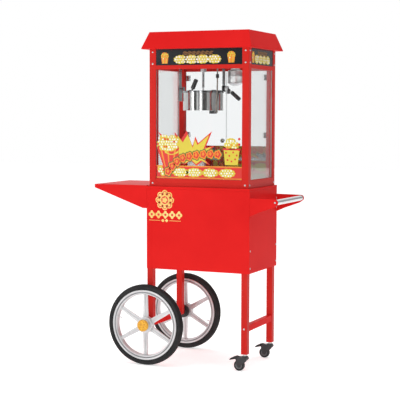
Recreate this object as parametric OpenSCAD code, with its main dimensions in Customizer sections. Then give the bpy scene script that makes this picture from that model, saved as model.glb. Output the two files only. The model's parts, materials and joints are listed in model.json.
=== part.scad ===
// Popcorn machine on a two-wheeled cart.
// Millimetres, +Z up. The front faces -Y and the push handle is on the +X side.
// The origin is on the floor, in the middle of the overall length and width.

/* [Cabinet] */
// Width of the cabinet
cabinet_w = 530; // [500:2:560]
// Depth of the cabinet
cabinet_d = 368; // [360:2:400]
// Height of the cabinet's lower edge above the floor
cabinet_bottom_z = 460; // [440:2:480]
// Height of the counter that the machine stands on
counter_z = 857; // [845:1:900]
// Height of the folded rim round the counter
counter_rim_h = 12; // [8:1:20]
// Thickness of the cabinet's sheet steel
sheet_t = 2; // [1.5:0.1:2.5]

/* [Legs] */
// Width of a square leg tube
leg_w = 30; // [25:1:32]
// Wall of a leg tube
leg_wall = 2; // [1.5:0.1:3]
// Height of the tops of the legs inside the cabinet
leg_top_z = 600; // [560:5:700]
// Height of the lower ends of the legs on the caster side
caster_leg_z = 80; // [78:1:90]
// How far the caster legs stand in from the cabinet's side
caster_leg_inset = 10; // [4:1:20]
// Height of the middle of the brace between the caster legs
brace_z = 201; // [160:1:260]

/* [Big wheels] */
// Radius of a big wheel with its tyre
wheel_r = 194; // [180:1:205]
// Distance from the cart's middle plane to a wheel's middle plane
wheel_y = 229; // [225:1:250]
// Width of a tyre
tyre_w = 36; // [30:1:40]
// Thickness of a tyre from tread to rim
tyre_t = 26; // [16:1:30]
// Number of spokes
spoke_count = 6; // [5:1:8]
// Width of a spoke
spoke_w = 22; // [18:1:30]
// Radius of the wheel axle
axle_r = 8; // [6:0.5:9]
// Radius of a hub cap
hub_cap_r = 28; // [24:1:29]

/* [Casters] */
// Radius of a caster wheel
caster_r = 25.5; // [24:0.5:26]
// Width of a caster wheel
caster_w = 20; // [16:1:22]
// Distance from the swivel axis to the caster wheel's axis
caster_trail = 28; // [24:1:30]

/* [Shelf and handle] */
// How far the side shelf reaches out from the cabinet
shelf_reach = 284; // [240:2:300]
// Height of the top of the side shelf
shelf_z = 860; // [858:1:870]
// Depth of the shelf's side walls at the cabinet
shelf_root_h = 110; // [80:2:130]
// Depth of the shelf's edge at its tip
shelf_tip_h = 17; // [12:1:24]
// How far the push handle reaches out from the cabinet
handle_reach = 140; // [120:2:160]
// Height of the middle of the push bar
bar_z = 797; // [780:1:800]
// Radius of the push bar
bar_r = 12.5; // [10:0.5:13]

/* [Machine body] */
// Width of the machine over its corner posts
body_w = 510; // [480:2:520]
// Depth of the machine over its corner posts
body_d = 348; // [330:2:356]
// Width of a corner post, seen from the front
post_w = 34; // [28:1:38]
// Depth of a corner post, seen from the side
post_d = 30; // [28:1:34]
// Height of the lower edge of the windows
window_bottom_z = 895; // [893:1:905]
// Height of the upper edge of the windows
window_top_z = 1413; // [1400:1:1413]
// Height of the lower edge of the signs
sign_bottom_z = 1432; // [1432:1:1436]
// Thickness of the window glass
glass_t = 4; // [3:0.5:4]

/* [Roof] */
// Width of the roof at its eaves
roof_w = 560; // [540:2:600]
// Depth of the roof at its eaves
roof_d = 425; // [400:1:450]
// Width of the roof's flat top
roof_top_w = 508; // [440:2:520]
// Depth of the roof's flat top
roof_top_d = 354; // [300:2:380]
// Height of the eaves above the floor
eaves_z = 1508; // [1505:1:1520]
// Overall height
overall_h = 1590; // [1580:1:1620]

/* [Kettle] */
// How far the kettle stands to the left of the cart's middle
kettle_left = 51; // [45:1:51]
// Outer radius of the kettle
kettle_r = 97.5; // [90:0.5:97.5]
// Height of the kettle's underside
kettle_bottom_z = 1219; // [1215:1:1225]
// Height of the kettle's rim
kettle_rim_z = 1306; // [1304:1:1306]
// Height of the axis that the kettle tips about
pivot_z = 1324; // [1323:0.5:1325]
// Wall of the kettle
kettle_wall = 1.5; // [1:0.1:2]
// Radius of the drive shaft
shaft_r = 5.5; // [5:0.1:6]

/* [Hidden] */
$fn = 64;

// Colours
red = [0.85, 0.13, 0.14];
steel = [0.78, 0.79, 0.80];
black = [0.10, 0.10, 0.11];
silver = [0.74, 0.75, 0.76];
clear = [0.85, 0.92, 0.94, 0.35];

// The cart's middle is to the right of the origin, because the shelf is longer than the handle.
cart_x = (shelf_reach - handle_reach) / 2;
half_w = cabinet_w / 2;
half_d = cabinet_d / 2;
body_x = body_w / 2;
body_y = body_d / 2;
post_in_x = body_x - post_w;
post_in_y = body_y - post_d;

running = 0.06;                     // radial clearance of a shaft that turns in its hole
gap = 0.5;                          // gap between panels that only lie beside each other
base_t = 2;                         // floor of the base tray
rail_t = 12;                        // depth of a frame rail
rail_h = 22;                        // height of a lower rail
groove_d = 5;                       // depth of the groove that holds the glass
glass_in = 5;                       // distance of the glass from a rail's outer face
groove_play = 0.2;                  // play on each side of the glass
sign_t = 3;                         // thickness of a sign
sign_in = 2;                        // distance of a sign from the posts' outer faces
post_wall = 1.5;                    // wall of a post
cabinet_top_z = counter_z - counter_rim_h;
base_top_z = counter_z + base_t;
lower_rail_z = window_bottom_z - rail_h;
roof_t = 2;                         // thickness of the roof sheet
lip_h = 5;                          // upright lip along the eaves
deck_t = 2;
guide_x = 217.5;                    // inner face of a drawer guide

left_leg_x = -half_w + sheet_t;     // outer face of the legs that carry the big wheels
right_leg_x = half_w - caster_leg_inset;
leg_y = half_d - sheet_t;           // outer face of every leg
axle_x = left_leg_x + leg_w / 2;
stem_x = right_leg_x - leg_w / 2;
stem_y = leg_y - leg_w / 2;
stem_r = 6;

rim_r = wheel_r - tyre_t;
rim_in_r = rim_r - 18;
hub_r = 40;
hub_in = 18;                        // hub's inner face from the wheel's middle plane
hub_out = 28;                       // hub's outer face from the wheel's middle plane
cap_h = 11;

handle_tip_x = half_w + handle_reach;
handle_tip_r = 15;
plate_t = 2.5;
bar_x = handle_tip_x - handle_tip_r;

kettle_x = -kettle_left;
lid_r = kettle_r + 3;
lid_z = 1312;                       // underside of the lids
lid_t = 1.5;
lid_skirt_h = 10;
yoke_z = lid_z + 1;                 // underside of the strap across the kettle
yoke_t = 3;
yoke_half = 9.5;                    // half the strap's width
ear_left_x = kettle_x - lid_r - 4;
ear_right_x = kettle_x + lid_r + 1;
ear_t = 2.5;
pin_r = 5;                          // radius of the kettle's pivot pins
hanger_left_x = -175;
hanger_right_x = 55;
hanger_t = 3;
ceiling_t = 2;
bearing_z = 1405;                   // lower end of the drive shaft's bearing
fork_up = 6;                        // lower end of the drive shaft above the pivot axis
tongue_up = 12;                     // top of the stirrer's tongue above the pivot axis
tongue_t = 3;
tongue_w = 8;
spindle_r = 4;
kettle_floor_z = kettle_bottom_z + 18;
lid_hinge_y = -12.5;
lid_hinge_z = lid_z + 4;

switch_z = 1472;
switch_x = [40, 80, 120];
rocker_w = 12.4;
rocker_tip = 10;                    // tilt of a rocker that is switched off
inlet_x = -120;

door_z = [1049, 1410];
door_y = 169;
door_t = 4;
hinge_axis_y = body_y + 4;
hinge_zs = [1099, 1381];
knob_x = 26;
knob_z = 1070;
knuckle_h = 14;
cabinet_hinge = [-half_w + 4.5, half_d + 4];
cabinet_hinge_zs = [540, 780];

lever_z = pivot_z - 13;
lever_r = 4.5;
elbow_x = 92;                        // where the tilt lever bends down into its grip
elbow_angle = 130;

lamp_x = 100;
lamp_y = 40;
lamp_r = 37;                         // radius of the lamp's metal shade
lamp_face_z = 1337;                  // lowest point of the lamp's frosted face
lamp_face_r = 50;                    // radius of the face's dome
lead_r = 3.5;
lead_route = [
    [54, -72, 1431.9], [54, -72, 1415], [54, -72, 1400], [54, -72, 1385], [54, -72, 1370],
    [54, -73, 1350], [54, -74, 1330], [54, -75, 1310], [53, -77, 1290], [53, -78, 1270],
    [52, -78, 1252], [50, -76, 1236], [48, -70, 1224], [47, -61, 1216], [45, -53, 1212.5],
    [42, -47, 1211.3], [38.5, -45, 1211], [35.4, -45, 1211]
];

// Helpers
module at_cart() translate([cart_x, 0, 0]) children();
module block(lo, hi) translate(lo) cube(hi - lo);
module both_x() {
    children();
    mirror([1, 0, 0]) children();
}
module both_y() {
    children();
    mirror([0, 1, 0]) children();
}
module rod_x(r, x0, x1) translate([x0, 0, 0]) rotate([0, 90, 0]) cylinder(r = r, h = x1 - x0);
module rod_y(r, y0, y1) translate([0, y0, 0]) rotate([-90, 0, 0]) cylinder(r = r, h = y1 - y0);
module ring(r_out, r_in, h) difference() {
    cylinder(r = r_out, h = h);
    translate([0, 0, -1]) cylinder(r = r_in, h = h + 2);
}
// A profile drawn with x along X and y along Z, extruded along Y from y0 to y1
module along_y(y0, y1) translate([0, y1, 0]) rotate([90, 0, 0]) linear_extrude(y1 - y0) children();
// A profile drawn with x along Y and y along Z, extruded along X from x0 to x1
module along_x(x0, x1) translate([x0, 0, 0]) rotate([90, 0, 90]) linear_extrude(x1 - x0) children();
// Points of an arc round c, from angle a0 to a1
function arc(c, r, a0, a1, n = 10) =
    [for (i = [0 : n]) c + r * [cos(a0 + (a1 - a0) * i / n), sin(a0 + (a1 - a0) * i / n)]];
module square_tube(lo, hi, wall) difference() {
    block(lo, hi);
    block([lo[0] + wall, lo[1] + wall, lo[2] - 1], [hi[0] - wall, hi[1] - wall, hi[2] + 1]);
}
// A four-sided block whose top is smaller than its base
module frustum(w0, d0, z0, w1, d1, z1) polyhedron(
    points = concat(
        [for (s = [[-1, -1], [1, -1], [1, 1], [-1, 1]]) [s[0] * w0 / 2, s[1] * d0 / 2, z0]],
        [for (s = [[-1, -1], [1, -1], [1, 1], [-1, 1]]) [s[0] * w1 / 2, s[1] * d1 / 2, z1]]
    ),
    faces = [[0, 1, 2, 3], [7, 6, 5, 4], [0, 4, 5, 1], [1, 5, 6, 2], [2, 6, 7, 3], [3, 7, 4, 0]]
);

// Head of the machine
module roof_canopy() {
    color(red) at_cart() {
        difference() {
            union() {
                frustum(roof_w, roof_d, eaves_z + lip_h, roof_top_w, roof_top_d, overall_h);
                block([-roof_w / 2, -roof_d / 2, eaves_z], [roof_w / 2, roof_d / 2, eaves_z + lip_h]);
            }
            frustum(
                roof_w - 2 * roof_t, roof_d - 2 * roof_t, eaves_z + lip_h - 0.01,
                roof_top_w - 2 * roof_t, roof_top_d - 2 * roof_t, overall_h - roof_t
            );
            block(
                [-roof_w / 2 + roof_t, -roof_d / 2 + roof_t, eaves_z + roof_t],
                [roof_w / 2 - roof_t, roof_d / 2 - roof_t, eaves_z + lip_h]
            );
            // The flange inside the eaves rests on the posts.
            block([-body_x + 11, -body_y + 10, eaves_z - 1], [body_x - 11, body_y - 10, eaves_z + roof_t + 1]);
        }
    }
}

module corner_posts() {
    color(red) at_cart() both_x() both_y() square_tube(
        [post_in_x, post_in_y, base_top_z], [body_x, body_y, eaves_z], post_wall
    );
}

module front_rail(z0, z1) block([-post_in_x, -body_y, z0], [post_in_x, -body_y + rail_t, z1]);
module side_rail(z0, z1) block([body_x - rail_t, -post_in_y, z0], [body_x, post_in_y, z1]);
module glass_groove_front(z0, z1) block(
    [-body_x, -body_y + glass_in - groove_play, z0],
    [body_x, -body_y + glass_in + glass_t + groove_play, z1]
);
module glass_groove_side(z0, z1) block(
    [body_x - glass_in - glass_t - groove_play, -body_y, z0],
    [body_x - glass_in + groove_play, body_y, z1]
);

module frame_rails() {
    color(red) at_cart() {
        difference() {
            union() {
                front_rail(lower_rail_z, window_bottom_z);
                front_rail(window_top_z, sign_bottom_z);
            }
            glass_groove_front(window_bottom_z - groove_d, window_top_z + groove_d);
        }
        both_x() difference() {
            union() {
                side_rail(lower_rail_z, window_bottom_z);
                side_rail(window_top_z, sign_bottom_z);
            }
            glass_groove_side(window_bottom_z - groove_d, window_top_z + groove_d);
        }
        mirror([0, 1, 0]) front_rail(window_top_z, sign_bottom_z);
    }
}

module sign_panels() {
    color(black) at_cart() {
        block(
            [-post_in_x + gap, -body_y + sign_in, sign_bottom_z],
            [post_in_x - gap, -body_y + sign_in + sign_t, eaves_z]
        );
        both_x() block(
            [body_x - sign_in - sign_t, -post_in_y + gap, sign_bottom_z],
            [body_x - sign_in, post_in_y - gap, eaves_z]
        );
    }
}

module control_panel() {
    color(red) at_cart() difference() {
        block(
            [-post_in_x + gap, body_y - sign_in - sheet_t, sign_bottom_z],
            [post_in_x - gap, body_y - sign_in, eaves_z]
        );
        for (x = switch_x) {
            translate([x, body_y - sign_in, switch_z]) cube([rocker_w + 1, 20, 20.8], center = true);
        }
        translate([inlet_x, body_y - sign_in, switch_z]) cube([28.4, 20, 21.4], center = true);
    }
}

module power_inlet() {
    face_y = body_y - sign_in;
    color(black) at_cart() translate([inlet_x, face_y, switch_z]) difference() {
        union() {
            block([-14, -24, -10.5], [14, 0, 10.5]);
            block([-20, 0, -14], [20, 3, 14]);
        }
        block([-12, -18, -8.5], [12, 4, 8.5]);
    }
    color(silver) at_cart() translate([inlet_x, face_y, switch_z]) {
        for (p = [[-7, -1.5], [0, 2.5], [7, -1.5]]) {
            block([p[0] - 1, -18, p[1] - 2], [p[0] + 1, -6, p[1] + 2]);
        }
    }
}

module rocker(x) {
    color(black) at_cart() translate([x, body_y - 1, switch_z]) rotate([-rocker_tip, 0, 0])
        along_x(-rocker_w / 2, rocker_w / 2)
            polygon([[-9, -8.5], [3, -9.2], [1.4, 0], [3, 9.2], [-9, 8.5]]);
}
module motor_switch() rocker(switch_x[0]);
module heat_switch() rocker(switch_x[1]);
module lamp_switch() rocker(switch_x[2]);

module ceiling_plate() {
    edge = sign_in + sign_t + gap;
    color(steel) at_cart() difference() {
        block(
            [-body_x + edge, -body_y + edge, sign_bottom_z],
            [body_x - edge, body_y - edge, sign_bottom_z + ceiling_t]
        );
        both_x() both_y() block(
            [post_in_x - gap, post_in_y - gap, sign_bottom_z - 1],
            [body_x, body_y, sign_bottom_z + ceiling_t + 1]
        );
        translate([kettle_x, 0, sign_bottom_z - 1]) cylinder(r = shaft_r + 2, h = ceiling_t + 2);
    }
}

module drive_motor() {
    box_z = sign_bottom_z + ceiling_t;
    color(steel) at_cart() translate([kettle_x, 0, 0]) difference() {
        union() {
            block([-35, -30, box_z], [35, 30, box_z + 40]);
            translate([8, 0, box_z + 40]) cylinder(r = 29, h = 52);
            translate([8, 0, box_z + 92]) cylinder(r = 12, h = 6);
        }
        translate([0, 0, box_z - 1]) cylinder(r = shaft_r + running, h = 31);
    }
}

module drive_shaft() {
    color(steel) at_cart() translate([kettle_x, 0, 0]) difference() {
        translate([0, 0, pivot_z + fork_up])
            cylinder(r = shaft_r, h = sign_bottom_z + 30 - pivot_z - fork_up);
        // The fork that drives the stirrer's tongue is open to the front and back.
        block(
            [-tongue_t / 2 - groove_play, -20, pivot_z],
            [tongue_t / 2 + groove_play, 20, pivot_z + tongue_up + 1.6]
        );
    }
}

// Base of the machine
module base_tray() {
    color(red) at_cart() {
        block([-body_x, -body_y, counter_z], [body_x, body_y, base_top_z]);
        block([-post_in_x, -body_y + 1, base_top_z], [post_in_x, -body_y + 3, lower_rail_z]);
        both_x() {
            block([body_x - 3, -post_in_y, base_top_z], [body_x - 1, post_in_y, lower_rail_z]);
            block([guide_x, -158, base_top_z], [guide_x + 2, 160, window_bottom_z - deck_t]);
        }
    }
}

module deck_plate() {
    z0 = window_bottom_z - deck_t;
    color(steel) at_cart() difference() {
        block([-body_x + rail_t + gap, -body_y + rail_t + gap, z0], [body_x - rail_t - gap, 168, window_bottom_z]);
        both_x() both_y() block(
            [post_in_x - gap, post_in_y - gap, z0 - 1], [body_x, body_y, window_bottom_z + 1]
        );
        for (ix = [-4 : 4], iy = [-2 : 2]) {
            translate([ix * 40, iy * 40, z0 - 1]) cylinder(r = 5, h = deck_t + 2, $fn = 24);
        }
    }
}

module crumb_drawer() {
    w = guide_x - 1.5;
    color(steel) at_cart() {
        difference() {
            block([-w, -155, base_top_z + 2], [w, 172, 889]);
            block([-w + 1.5, -153.5, base_top_z + 3.5], [w - 1.5, 170.5, 890]);
        }
        block([-w - 3, 172, base_top_z + 1], [w + 3, body_y, 891]);
        block([-45, body_y, 884], [45, body_y + 14, 886]);
        block([-45, body_y + 12, 876], [45, body_y + 14, 884]);
    }
}

module rear_guard() {
    color(steel) at_cart() {
        block([-post_in_x + gap, 168.3, window_bottom_z - deck_t], [post_in_x - gap, 170, 1046]);
        block([-post_in_x + gap, 160, 1044.5], [post_in_x - gap, 168.3, 1046]);
    }
}

// Windows and doors
module front_glass() {
    color(clear) at_cart() block(
        [-post_in_x + gap, -body_y + glass_in, window_bottom_z - groove_d + 1],
        [post_in_x - gap, -body_y + glass_in + glass_t, window_top_z + groove_d - 1]
    );
}

module side_glasses() {
    color(clear) at_cart() both_x() block(
        [body_x - glass_in - glass_t, -post_in_y + gap, window_bottom_z - groove_d + 1],
        [body_x - glass_in, post_in_y - gap, window_top_z + groove_d - 1]
    );
}

module door_pane() {
    color(clear) block([1.5, door_y, door_z[0]], [post_in_x - 1.5, door_y + door_t, door_z[1]]);
}

// The moving half of each hinge, and the knob
module door_fittings() {
    color(steel) {
        for (z = hinge_zs) difference() {
            union() {
                block([post_in_x - 24, door_y + door_t, z - knuckle_h], [post_in_x, hinge_axis_y - 3, z + knuckle_h]);
                translate([post_in_x, hinge_axis_y, z + 0.5]) cylinder(r = 4, h = knuckle_h - 0.5);
            }
            translate([post_in_x, hinge_axis_y, z - knuckle_h - 1]) cylinder(r = 2 + running, h = 2 * knuckle_h + 2);
            // The lower half of the knuckle belongs to the post's hinge leaf.
            translate([post_in_x, hinge_axis_y, z - knuckle_h - 1]) cylinder(r = 4.5, h = knuckle_h + 1.2);
        }
        translate([knob_x, 0, knob_z]) {
            rod_y(6, door_y + door_t, door_y + door_t + 8);
            rod_y(11, door_y + door_t + 8, door_y + door_t + 16);
        }
    }
}
module left_door() at_cart() mirror([1, 0, 0]) door_pane();
module right_door() at_cart() door_pane();
module left_door_fittings() at_cart() mirror([1, 0, 0]) door_fittings();
module right_door_fittings() at_cart() door_fittings();

module door_hinges() {
    color(steel) at_cart() both_x() for (z = hinge_zs) {
        difference() {
            block([post_in_x + gap, body_y, z - knuckle_h], [post_in_x + 22, body_y + 2, z + knuckle_h]);
            translate([post_in_x, hinge_axis_y, z]) cylinder(r = 4.5, h = knuckle_h + 1);
        }
        translate([post_in_x, hinge_axis_y, z - knuckle_h]) cylinder(r = 4, h = knuckle_h);
        translate([post_in_x, hinge_axis_y, z - knuckle_h]) cylinder(r = 2, h = 2 * knuckle_h);
    }
    // Hinges of the cabinet's door
    color(steel) at_cart() for (z = cabinet_hinge_zs) {
        block([-half_w, half_d - sheet_t, z - 20], [-half_w + sheet_t, cabinet_hinge[1], z - 0.5]);
        translate([cabinet_hinge[0], cabinet_hinge[1], z - 20]) cylinder(r = 3.5, h = 19.5);
        translate([cabinet_hinge[0], cabinet_hinge[1], z - 20]) cylinder(r = 1.5, h = 45);
    }
}

// Kettle and its drive
module hanger(x, flange_to) {
    difference() {
        union() {
            block([x, -15, pivot_z], [x + hanger_t, 15, sign_bottom_z]);
            block([x, -22, pivot_z - 60], [x + hanger_t, 22, pivot_z + 12]);
            block([min(x, flange_to), -15, sign_bottom_z - 3], [max(x, flange_to), 15, sign_bottom_z]);
        }
        translate([x - 1, 0, pivot_z]) rod_x(pin_r + running, 0, hanger_t + 2);
    }
}
module kettle_hangers() {
    color([0.55, 0.56, 0.58]) at_cart() {
        hanger(hanger_left_x, hanger_left_x - 16);
        difference() {
            hanger(hanger_right_x, hanger_right_x + 18);
            block([0, -30, pivot_z - 70], [100, 30, pivot_z - 13]);
        }
    }
}

// Bearing of the drive shaft under the ceiling, and the bushes of the kettle's pivot pins
module bearing_bushes() {
    color(steel) at_cart() translate([kettle_x, 0, bearing_z])
        ring(15, shaft_r + running, sign_bottom_z - bearing_z);
    color(black) at_cart() translate([0, 0, pivot_z]) {
        difference() {
            rod_x(15, hanger_right_x + hanger_t, hanger_right_x + hanger_t + 7);
            rod_x(pin_r + running, 0, 100);
        }
        difference() {
            rod_x(12, hanger_left_x - 5, hanger_left_x);
            rod_x(pin_r + running, -200, 0);
        }
    }
}

module kettle_pot() {
    inner_r = kettle_r - kettle_wall;
    color(steel) at_cart() translate([kettle_x, 0, 0]) rotate_extrude($fn = 128) polygon([
        [inner_r, kettle_bottom_z], [kettle_r, kettle_bottom_z], [kettle_r, kettle_rim_z - 1.5],
        [kettle_r + 1.2, kettle_rim_z - 1.5], [kettle_r + 1.2, kettle_rim_z], [inner_r, kettle_rim_z],
        [inner_r, kettle_floor_z + 2], [0, kettle_floor_z + 2], [0, kettle_floor_z], [inner_r, kettle_floor_z]
    ]);
}

// Bottom cover with the ring heater above it and the terminal box below it
module kettle_base() {
    color(steel) at_cart() translate([kettle_x, 0, kettle_bottom_z]) {
        cylinder(r = kettle_r - kettle_wall - 0.1, h = 2, $fn = 128);
        block([56, -57, -16], [86, -33, 0]);
        translate([0, 0, 2]) ring(72, 48, 14);
    }
}

module kettle_yoke() {
    pin_left = hanger_left_x - 7;
    pin_right = hanger_right_x + 23;
    color(steel) at_cart() {
        difference() {
            block([ear_left_x, -yoke_half, yoke_z], [ear_right_x + ear_t, yoke_half, yoke_z + yoke_t]);
            translate([kettle_x, 0, yoke_z - 1]) cylinder(r = spindle_r + running, h = yoke_t + 2);
        }
        both_about_kettle() block([84, -yoke_half, kettle_rim_z], [97, yoke_half, yoke_z]);
        block([ear_left_x, -yoke_half, yoke_z + yoke_t], [ear_left_x + ear_t, yoke_half, pivot_z + 9]);
        block([ear_right_x, -yoke_half, yoke_z + yoke_t], [ear_right_x + ear_t, yoke_half, pivot_z + 9]);
        translate([0, 0, pivot_z]) rod_x(pin_r, pin_left, ear_left_x + ear_t / 2);
        translate([0, 0, pivot_z]) rod_x(pin_r, ear_right_x + ear_t / 2, pin_right);
        // Lugs and pins of the front lid's hinge
        both_about_kettle() {
            for (x = [50, 66.5]) {
                block([x, lid_hinge_y - 2.4, yoke_z], [x + 3.5, -yoke_half, lid_hinge_z + 2.4]);
            }
            translate([0, lid_hinge_y, lid_hinge_z]) rod_x(1.2, 50, 70);
        }
    }
}
module both_about_kettle() translate([kettle_x, 0, 0]) both_x() children();

// Half of the lid, with a folded skirt round its edge
module half_lid(y_from) {
    intersection() {
        translate([0, 0, lid_z + lid_t]) mirror([0, 0, 1]) difference() {
            cylinder(r = lid_r, h = lid_skirt_h, $fn = 128);
            translate([0, 0, lid_t]) cylinder(r = lid_r - 1.4, h = lid_skirt_h, $fn = 128);
        }
        block([-lid_r - 1, y_from, lid_z - lid_skirt_h], [lid_r + 1, lid_r + 1, lid_z + lid_t]);
    }
}

module front_lid() {
    color(steel) at_cart() translate([kettle_x, 0, 0]) {
        mirror([0, 1, 0]) half_lid(15.5);
        both_x() difference() {
            union() {
                translate([0, lid_hinge_y, lid_hinge_z]) rod_x(2.4, 54, 66);
                block([54, -17, lid_z + lid_t / 2], [66, lid_hinge_y, lid_hinge_z]);
            }
            translate([0, lid_hinge_y, lid_hinge_z]) rod_x(1.2 + running, 50, 70);
        }
    }
}
module rear_lid() {
    color(steel) at_cart() translate([kettle_x, 0, 0]) half_lid(yoke_half + 0.5);
}

module lid_grip() {
    color(black) at_cart() translate([-91, -45, lid_z + lid_t]) {
        cylinder(r = 8, h = 3);
        translate([0, 0, 2]) rotate([0, 24, 0]) {
            cylinder(r = 4, h = 12);
            translate([0, 0, 8]) cylinder(r = 10.5, h = 50);
        }
    }
}

module stirrer() {
    arm_z = kettle_floor_z + 8;
    color(steel) at_cart() translate([kettle_x, 0, 0]) {
        translate([0, 0, kettle_floor_z + 2.3]) cylinder(r = spindle_r, h = pivot_z - kettle_floor_z);
        intersection() {
            block([-tongue_t / 2, -tongue_w / 2, pivot_z - 4], [tongue_t / 2, tongue_w / 2, pivot_z + tongue_up]);
            translate([0, 0, pivot_z - 5]) cylinder(r = spindle_r, h = tongue_up + 10);
        }
        translate([0, 0, arm_z]) rod_x(3, -86, 86);
        for (s = [-1, 1]) {
            translate([s * 84, 0, arm_z - 4.5]) block([-8, -1.5, 0], [8, 1.5, 9]);
            translate([s * 45, 0, arm_z - 4.5]) rotate([0, 0, 35]) block([-10, -1.5, 0], [10, 1.5, 9]);
        }
    }
}

module tilt_lever() {
    hub_x = hanger_right_x + 11;
    color(silver) at_cart() {
        difference() {
            union() {
                translate([0, 0, pivot_z]) rod_x(12, hub_x, hub_x + 14);
                block([hub_x + 4, -11, lever_z - 13], [hub_x + 10, 11, pivot_z]);
                translate([0, 0, lever_z]) rod_x(lever_r, hub_x + 5, elbow_x);
                translate([elbow_x, 0, lever_z]) sphere(r = lever_r + 0.7);
                translate([elbow_x, 0, lever_z]) rotate([0, elbow_angle, 0]) cylinder(r = lever_r, h = 21);
            }
            translate([0, 0, pivot_z]) rod_x(pin_r + running, hub_x - 1, hub_x + 15);
        }
    }
}

module tilt_grip() {
    color(black) at_cart() {
        translate([0, 0, lever_z]) difference() {
            rod_x(12, elbow_x - 11, elbow_x - 5);
            rod_x(lever_r + running, 0, elbow_x);
        }
        translate([elbow_x, 0, lever_z]) rotate([0, elbow_angle, 0]) difference() {
            translate([0, 0, 6]) cylinder(r = 9.5, h = 57);
            cylinder(r = lever_r + running, h = 22);
        }
    }
}

// The heater's lead, a tube swept along its route
module heater_lead() {
    n = 10;
    last = len(lead_route) - 1;
    function tangent(i) =
        let (d = lead_route[min(i + 1, last)] - lead_route[max(i - 1, 0)]) d / norm(d);
    function ring_points(i) =
        let (t = tangent(i), u = cross(t, [0, 1, 0]) / norm(cross(t, [0, 1, 0])), v = cross(t, u))
        [for (k = [0 : n - 1]) lead_route[i] + lead_r * (cos(360 * k / n) * u + sin(360 * k / n) * v)];
    color([0.45, 0.42, 0.38]) at_cart() polyhedron(
        points = [for (i = [0 : last]) each ring_points(i)],
        faces = concat(
            [[for (k = [0 : n - 1]) n - 1 - k]],
            [for (i = [0 : last - 1], k = [0 : n - 1])
                [i * n + k, i * n + (k + 1) % n, (i + 1) * n + (k + 1) % n, (i + 1) * n + k]],
            [[for (k = [0 : n - 1]) last * n + k]]
        )
    );
}

module lead_gland() {
    color(black) at_cart() translate([lead_route[0][0], lead_route[0][1], 0]) {
        translate([0, 0, sign_bottom_z - 12]) ring(9, lead_r + 0.2, 12);
        translate([0, 0, 1373]) ring(7.5, lead_r + 0.2, 18);
    }
}

module heat_lamp() {
    color([0.82, 0.83, 0.85]) at_cart() translate([lamp_x, lamp_y, 0]) rotate_extrude() polygon(concat(
        [[0, sign_bottom_z], [0, lamp_face_z]],
        arc([0, lamp_face_z + lamp_face_r], lamp_face_r, -90, -44, 8),
        [
            [lamp_r, lamp_face_z + 22], [lamp_r, sign_bottom_z - 22], [lamp_r - 3, sign_bottom_z - 19],
            [24, sign_bottom_z - 19], [22, sign_bottom_z - 8], [18, sign_bottom_z - 8], [18, sign_bottom_z]
        ]
    ));
}

// Cart
module counter() {
    color(red) at_cart() difference() {
        block([-half_w, -half_d, cabinet_top_z], [half_w, half_d, counter_z]);
        block(
            [-half_w + sheet_t, -half_d + sheet_t, cabinet_top_z - 1],
            [half_w - sheet_t, half_d - sheet_t, counter_z - sheet_t]
        );
    }
}

module leg_clearance(x0, x1) both_y() block(
    [x0 - gap, leg_y - leg_w - gap, cabinet_bottom_z], [x1 + gap, half_d, cabinet_top_z]
);

// Front, two sides and floor
module cabinet_panels() {
    color(red) at_cart() {
        block([-half_w, -half_d, cabinet_bottom_z], [half_w, -half_d + sheet_t, cabinet_top_z]);
        both_x() block(
            [half_w - sheet_t, -half_d + sheet_t, cabinet_bottom_z], [half_w, half_d - sheet_t, cabinet_top_z]
        );
        difference() {
            block(
                [-half_w + sheet_t, -half_d + sheet_t, cabinet_bottom_z + 10],
                [half_w - sheet_t, half_d - sheet_t, cabinet_bottom_z + 10 + sheet_t]
            );
            leg_clearance(left_leg_x, left_leg_x + leg_w);
            leg_clearance(right_leg_x - leg_w, right_leg_x);
        }
    }
}

module cabinet_door() {
    color(red) at_cart() {
        block(
            [cabinet_hinge[0], half_d - sheet_t + 0.3, cabinet_bottom_z + 4],
            [half_w - 1, half_d + 0.3, cabinet_top_z - 2]
        );
        for (z = cabinet_hinge_zs) difference() {
            union() {
                block([cabinet_hinge[0], half_d + 0.2, z], [cabinet_hinge[0] + 26, half_d + 2, z + 25]);
                translate([cabinet_hinge[0], cabinet_hinge[1], z]) cylinder(r = 3.5, h = 25);
            }
            translate([cabinet_hinge[0], cabinet_hinge[1], z - 1]) cylinder(r = 1.5 + running, h = 27);
        }
    }
    // The knob is a separate piece, screwed on from inside.
    color(black) at_cart() translate([half_w - 40, 0, 660]) {
        rod_y(7, half_d + 0.35, half_d + 12);
        rod_y(13, half_d + 12, half_d + 24);
    }
}

module legs() {
    color(red) at_cart() both_y() {
        // A leg that ends in a closed foot over its caster's stem
        difference() {
            block([right_leg_x - leg_w, leg_y - leg_w, caster_leg_z], [right_leg_x, leg_y, leg_top_z]);
            block(
                [right_leg_x - leg_w + leg_wall, leg_y - leg_w + leg_wall, caster_leg_z + 20],
                [right_leg_x - leg_wall, leg_y - leg_wall, leg_top_z + 1]
            );
            translate([stem_x, stem_y, caster_leg_z - 1]) cylinder(r = stem_r + 0.05, h = 30);
        }
        // A leg that ends in a round eye on the wheel axle
        difference() {
            union() {
                block([left_leg_x, leg_y - leg_w, wheel_r], [left_leg_x + leg_w, leg_y, leg_top_z]);
                translate([axle_x, 0, wheel_r]) rod_y(leg_w / 2, leg_y - leg_w, leg_y);
            }
            block(
                [left_leg_x + leg_wall, leg_y - leg_w + leg_wall, wheel_r + 12],
                [left_leg_x + leg_w - leg_wall, leg_y - leg_wall, leg_top_z + 1]
            );
            translate([axle_x, 0, wheel_r]) rod_y(axle_r + 0.05, leg_y - leg_w - 1, leg_y + 1);
        }
    }
}

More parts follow.
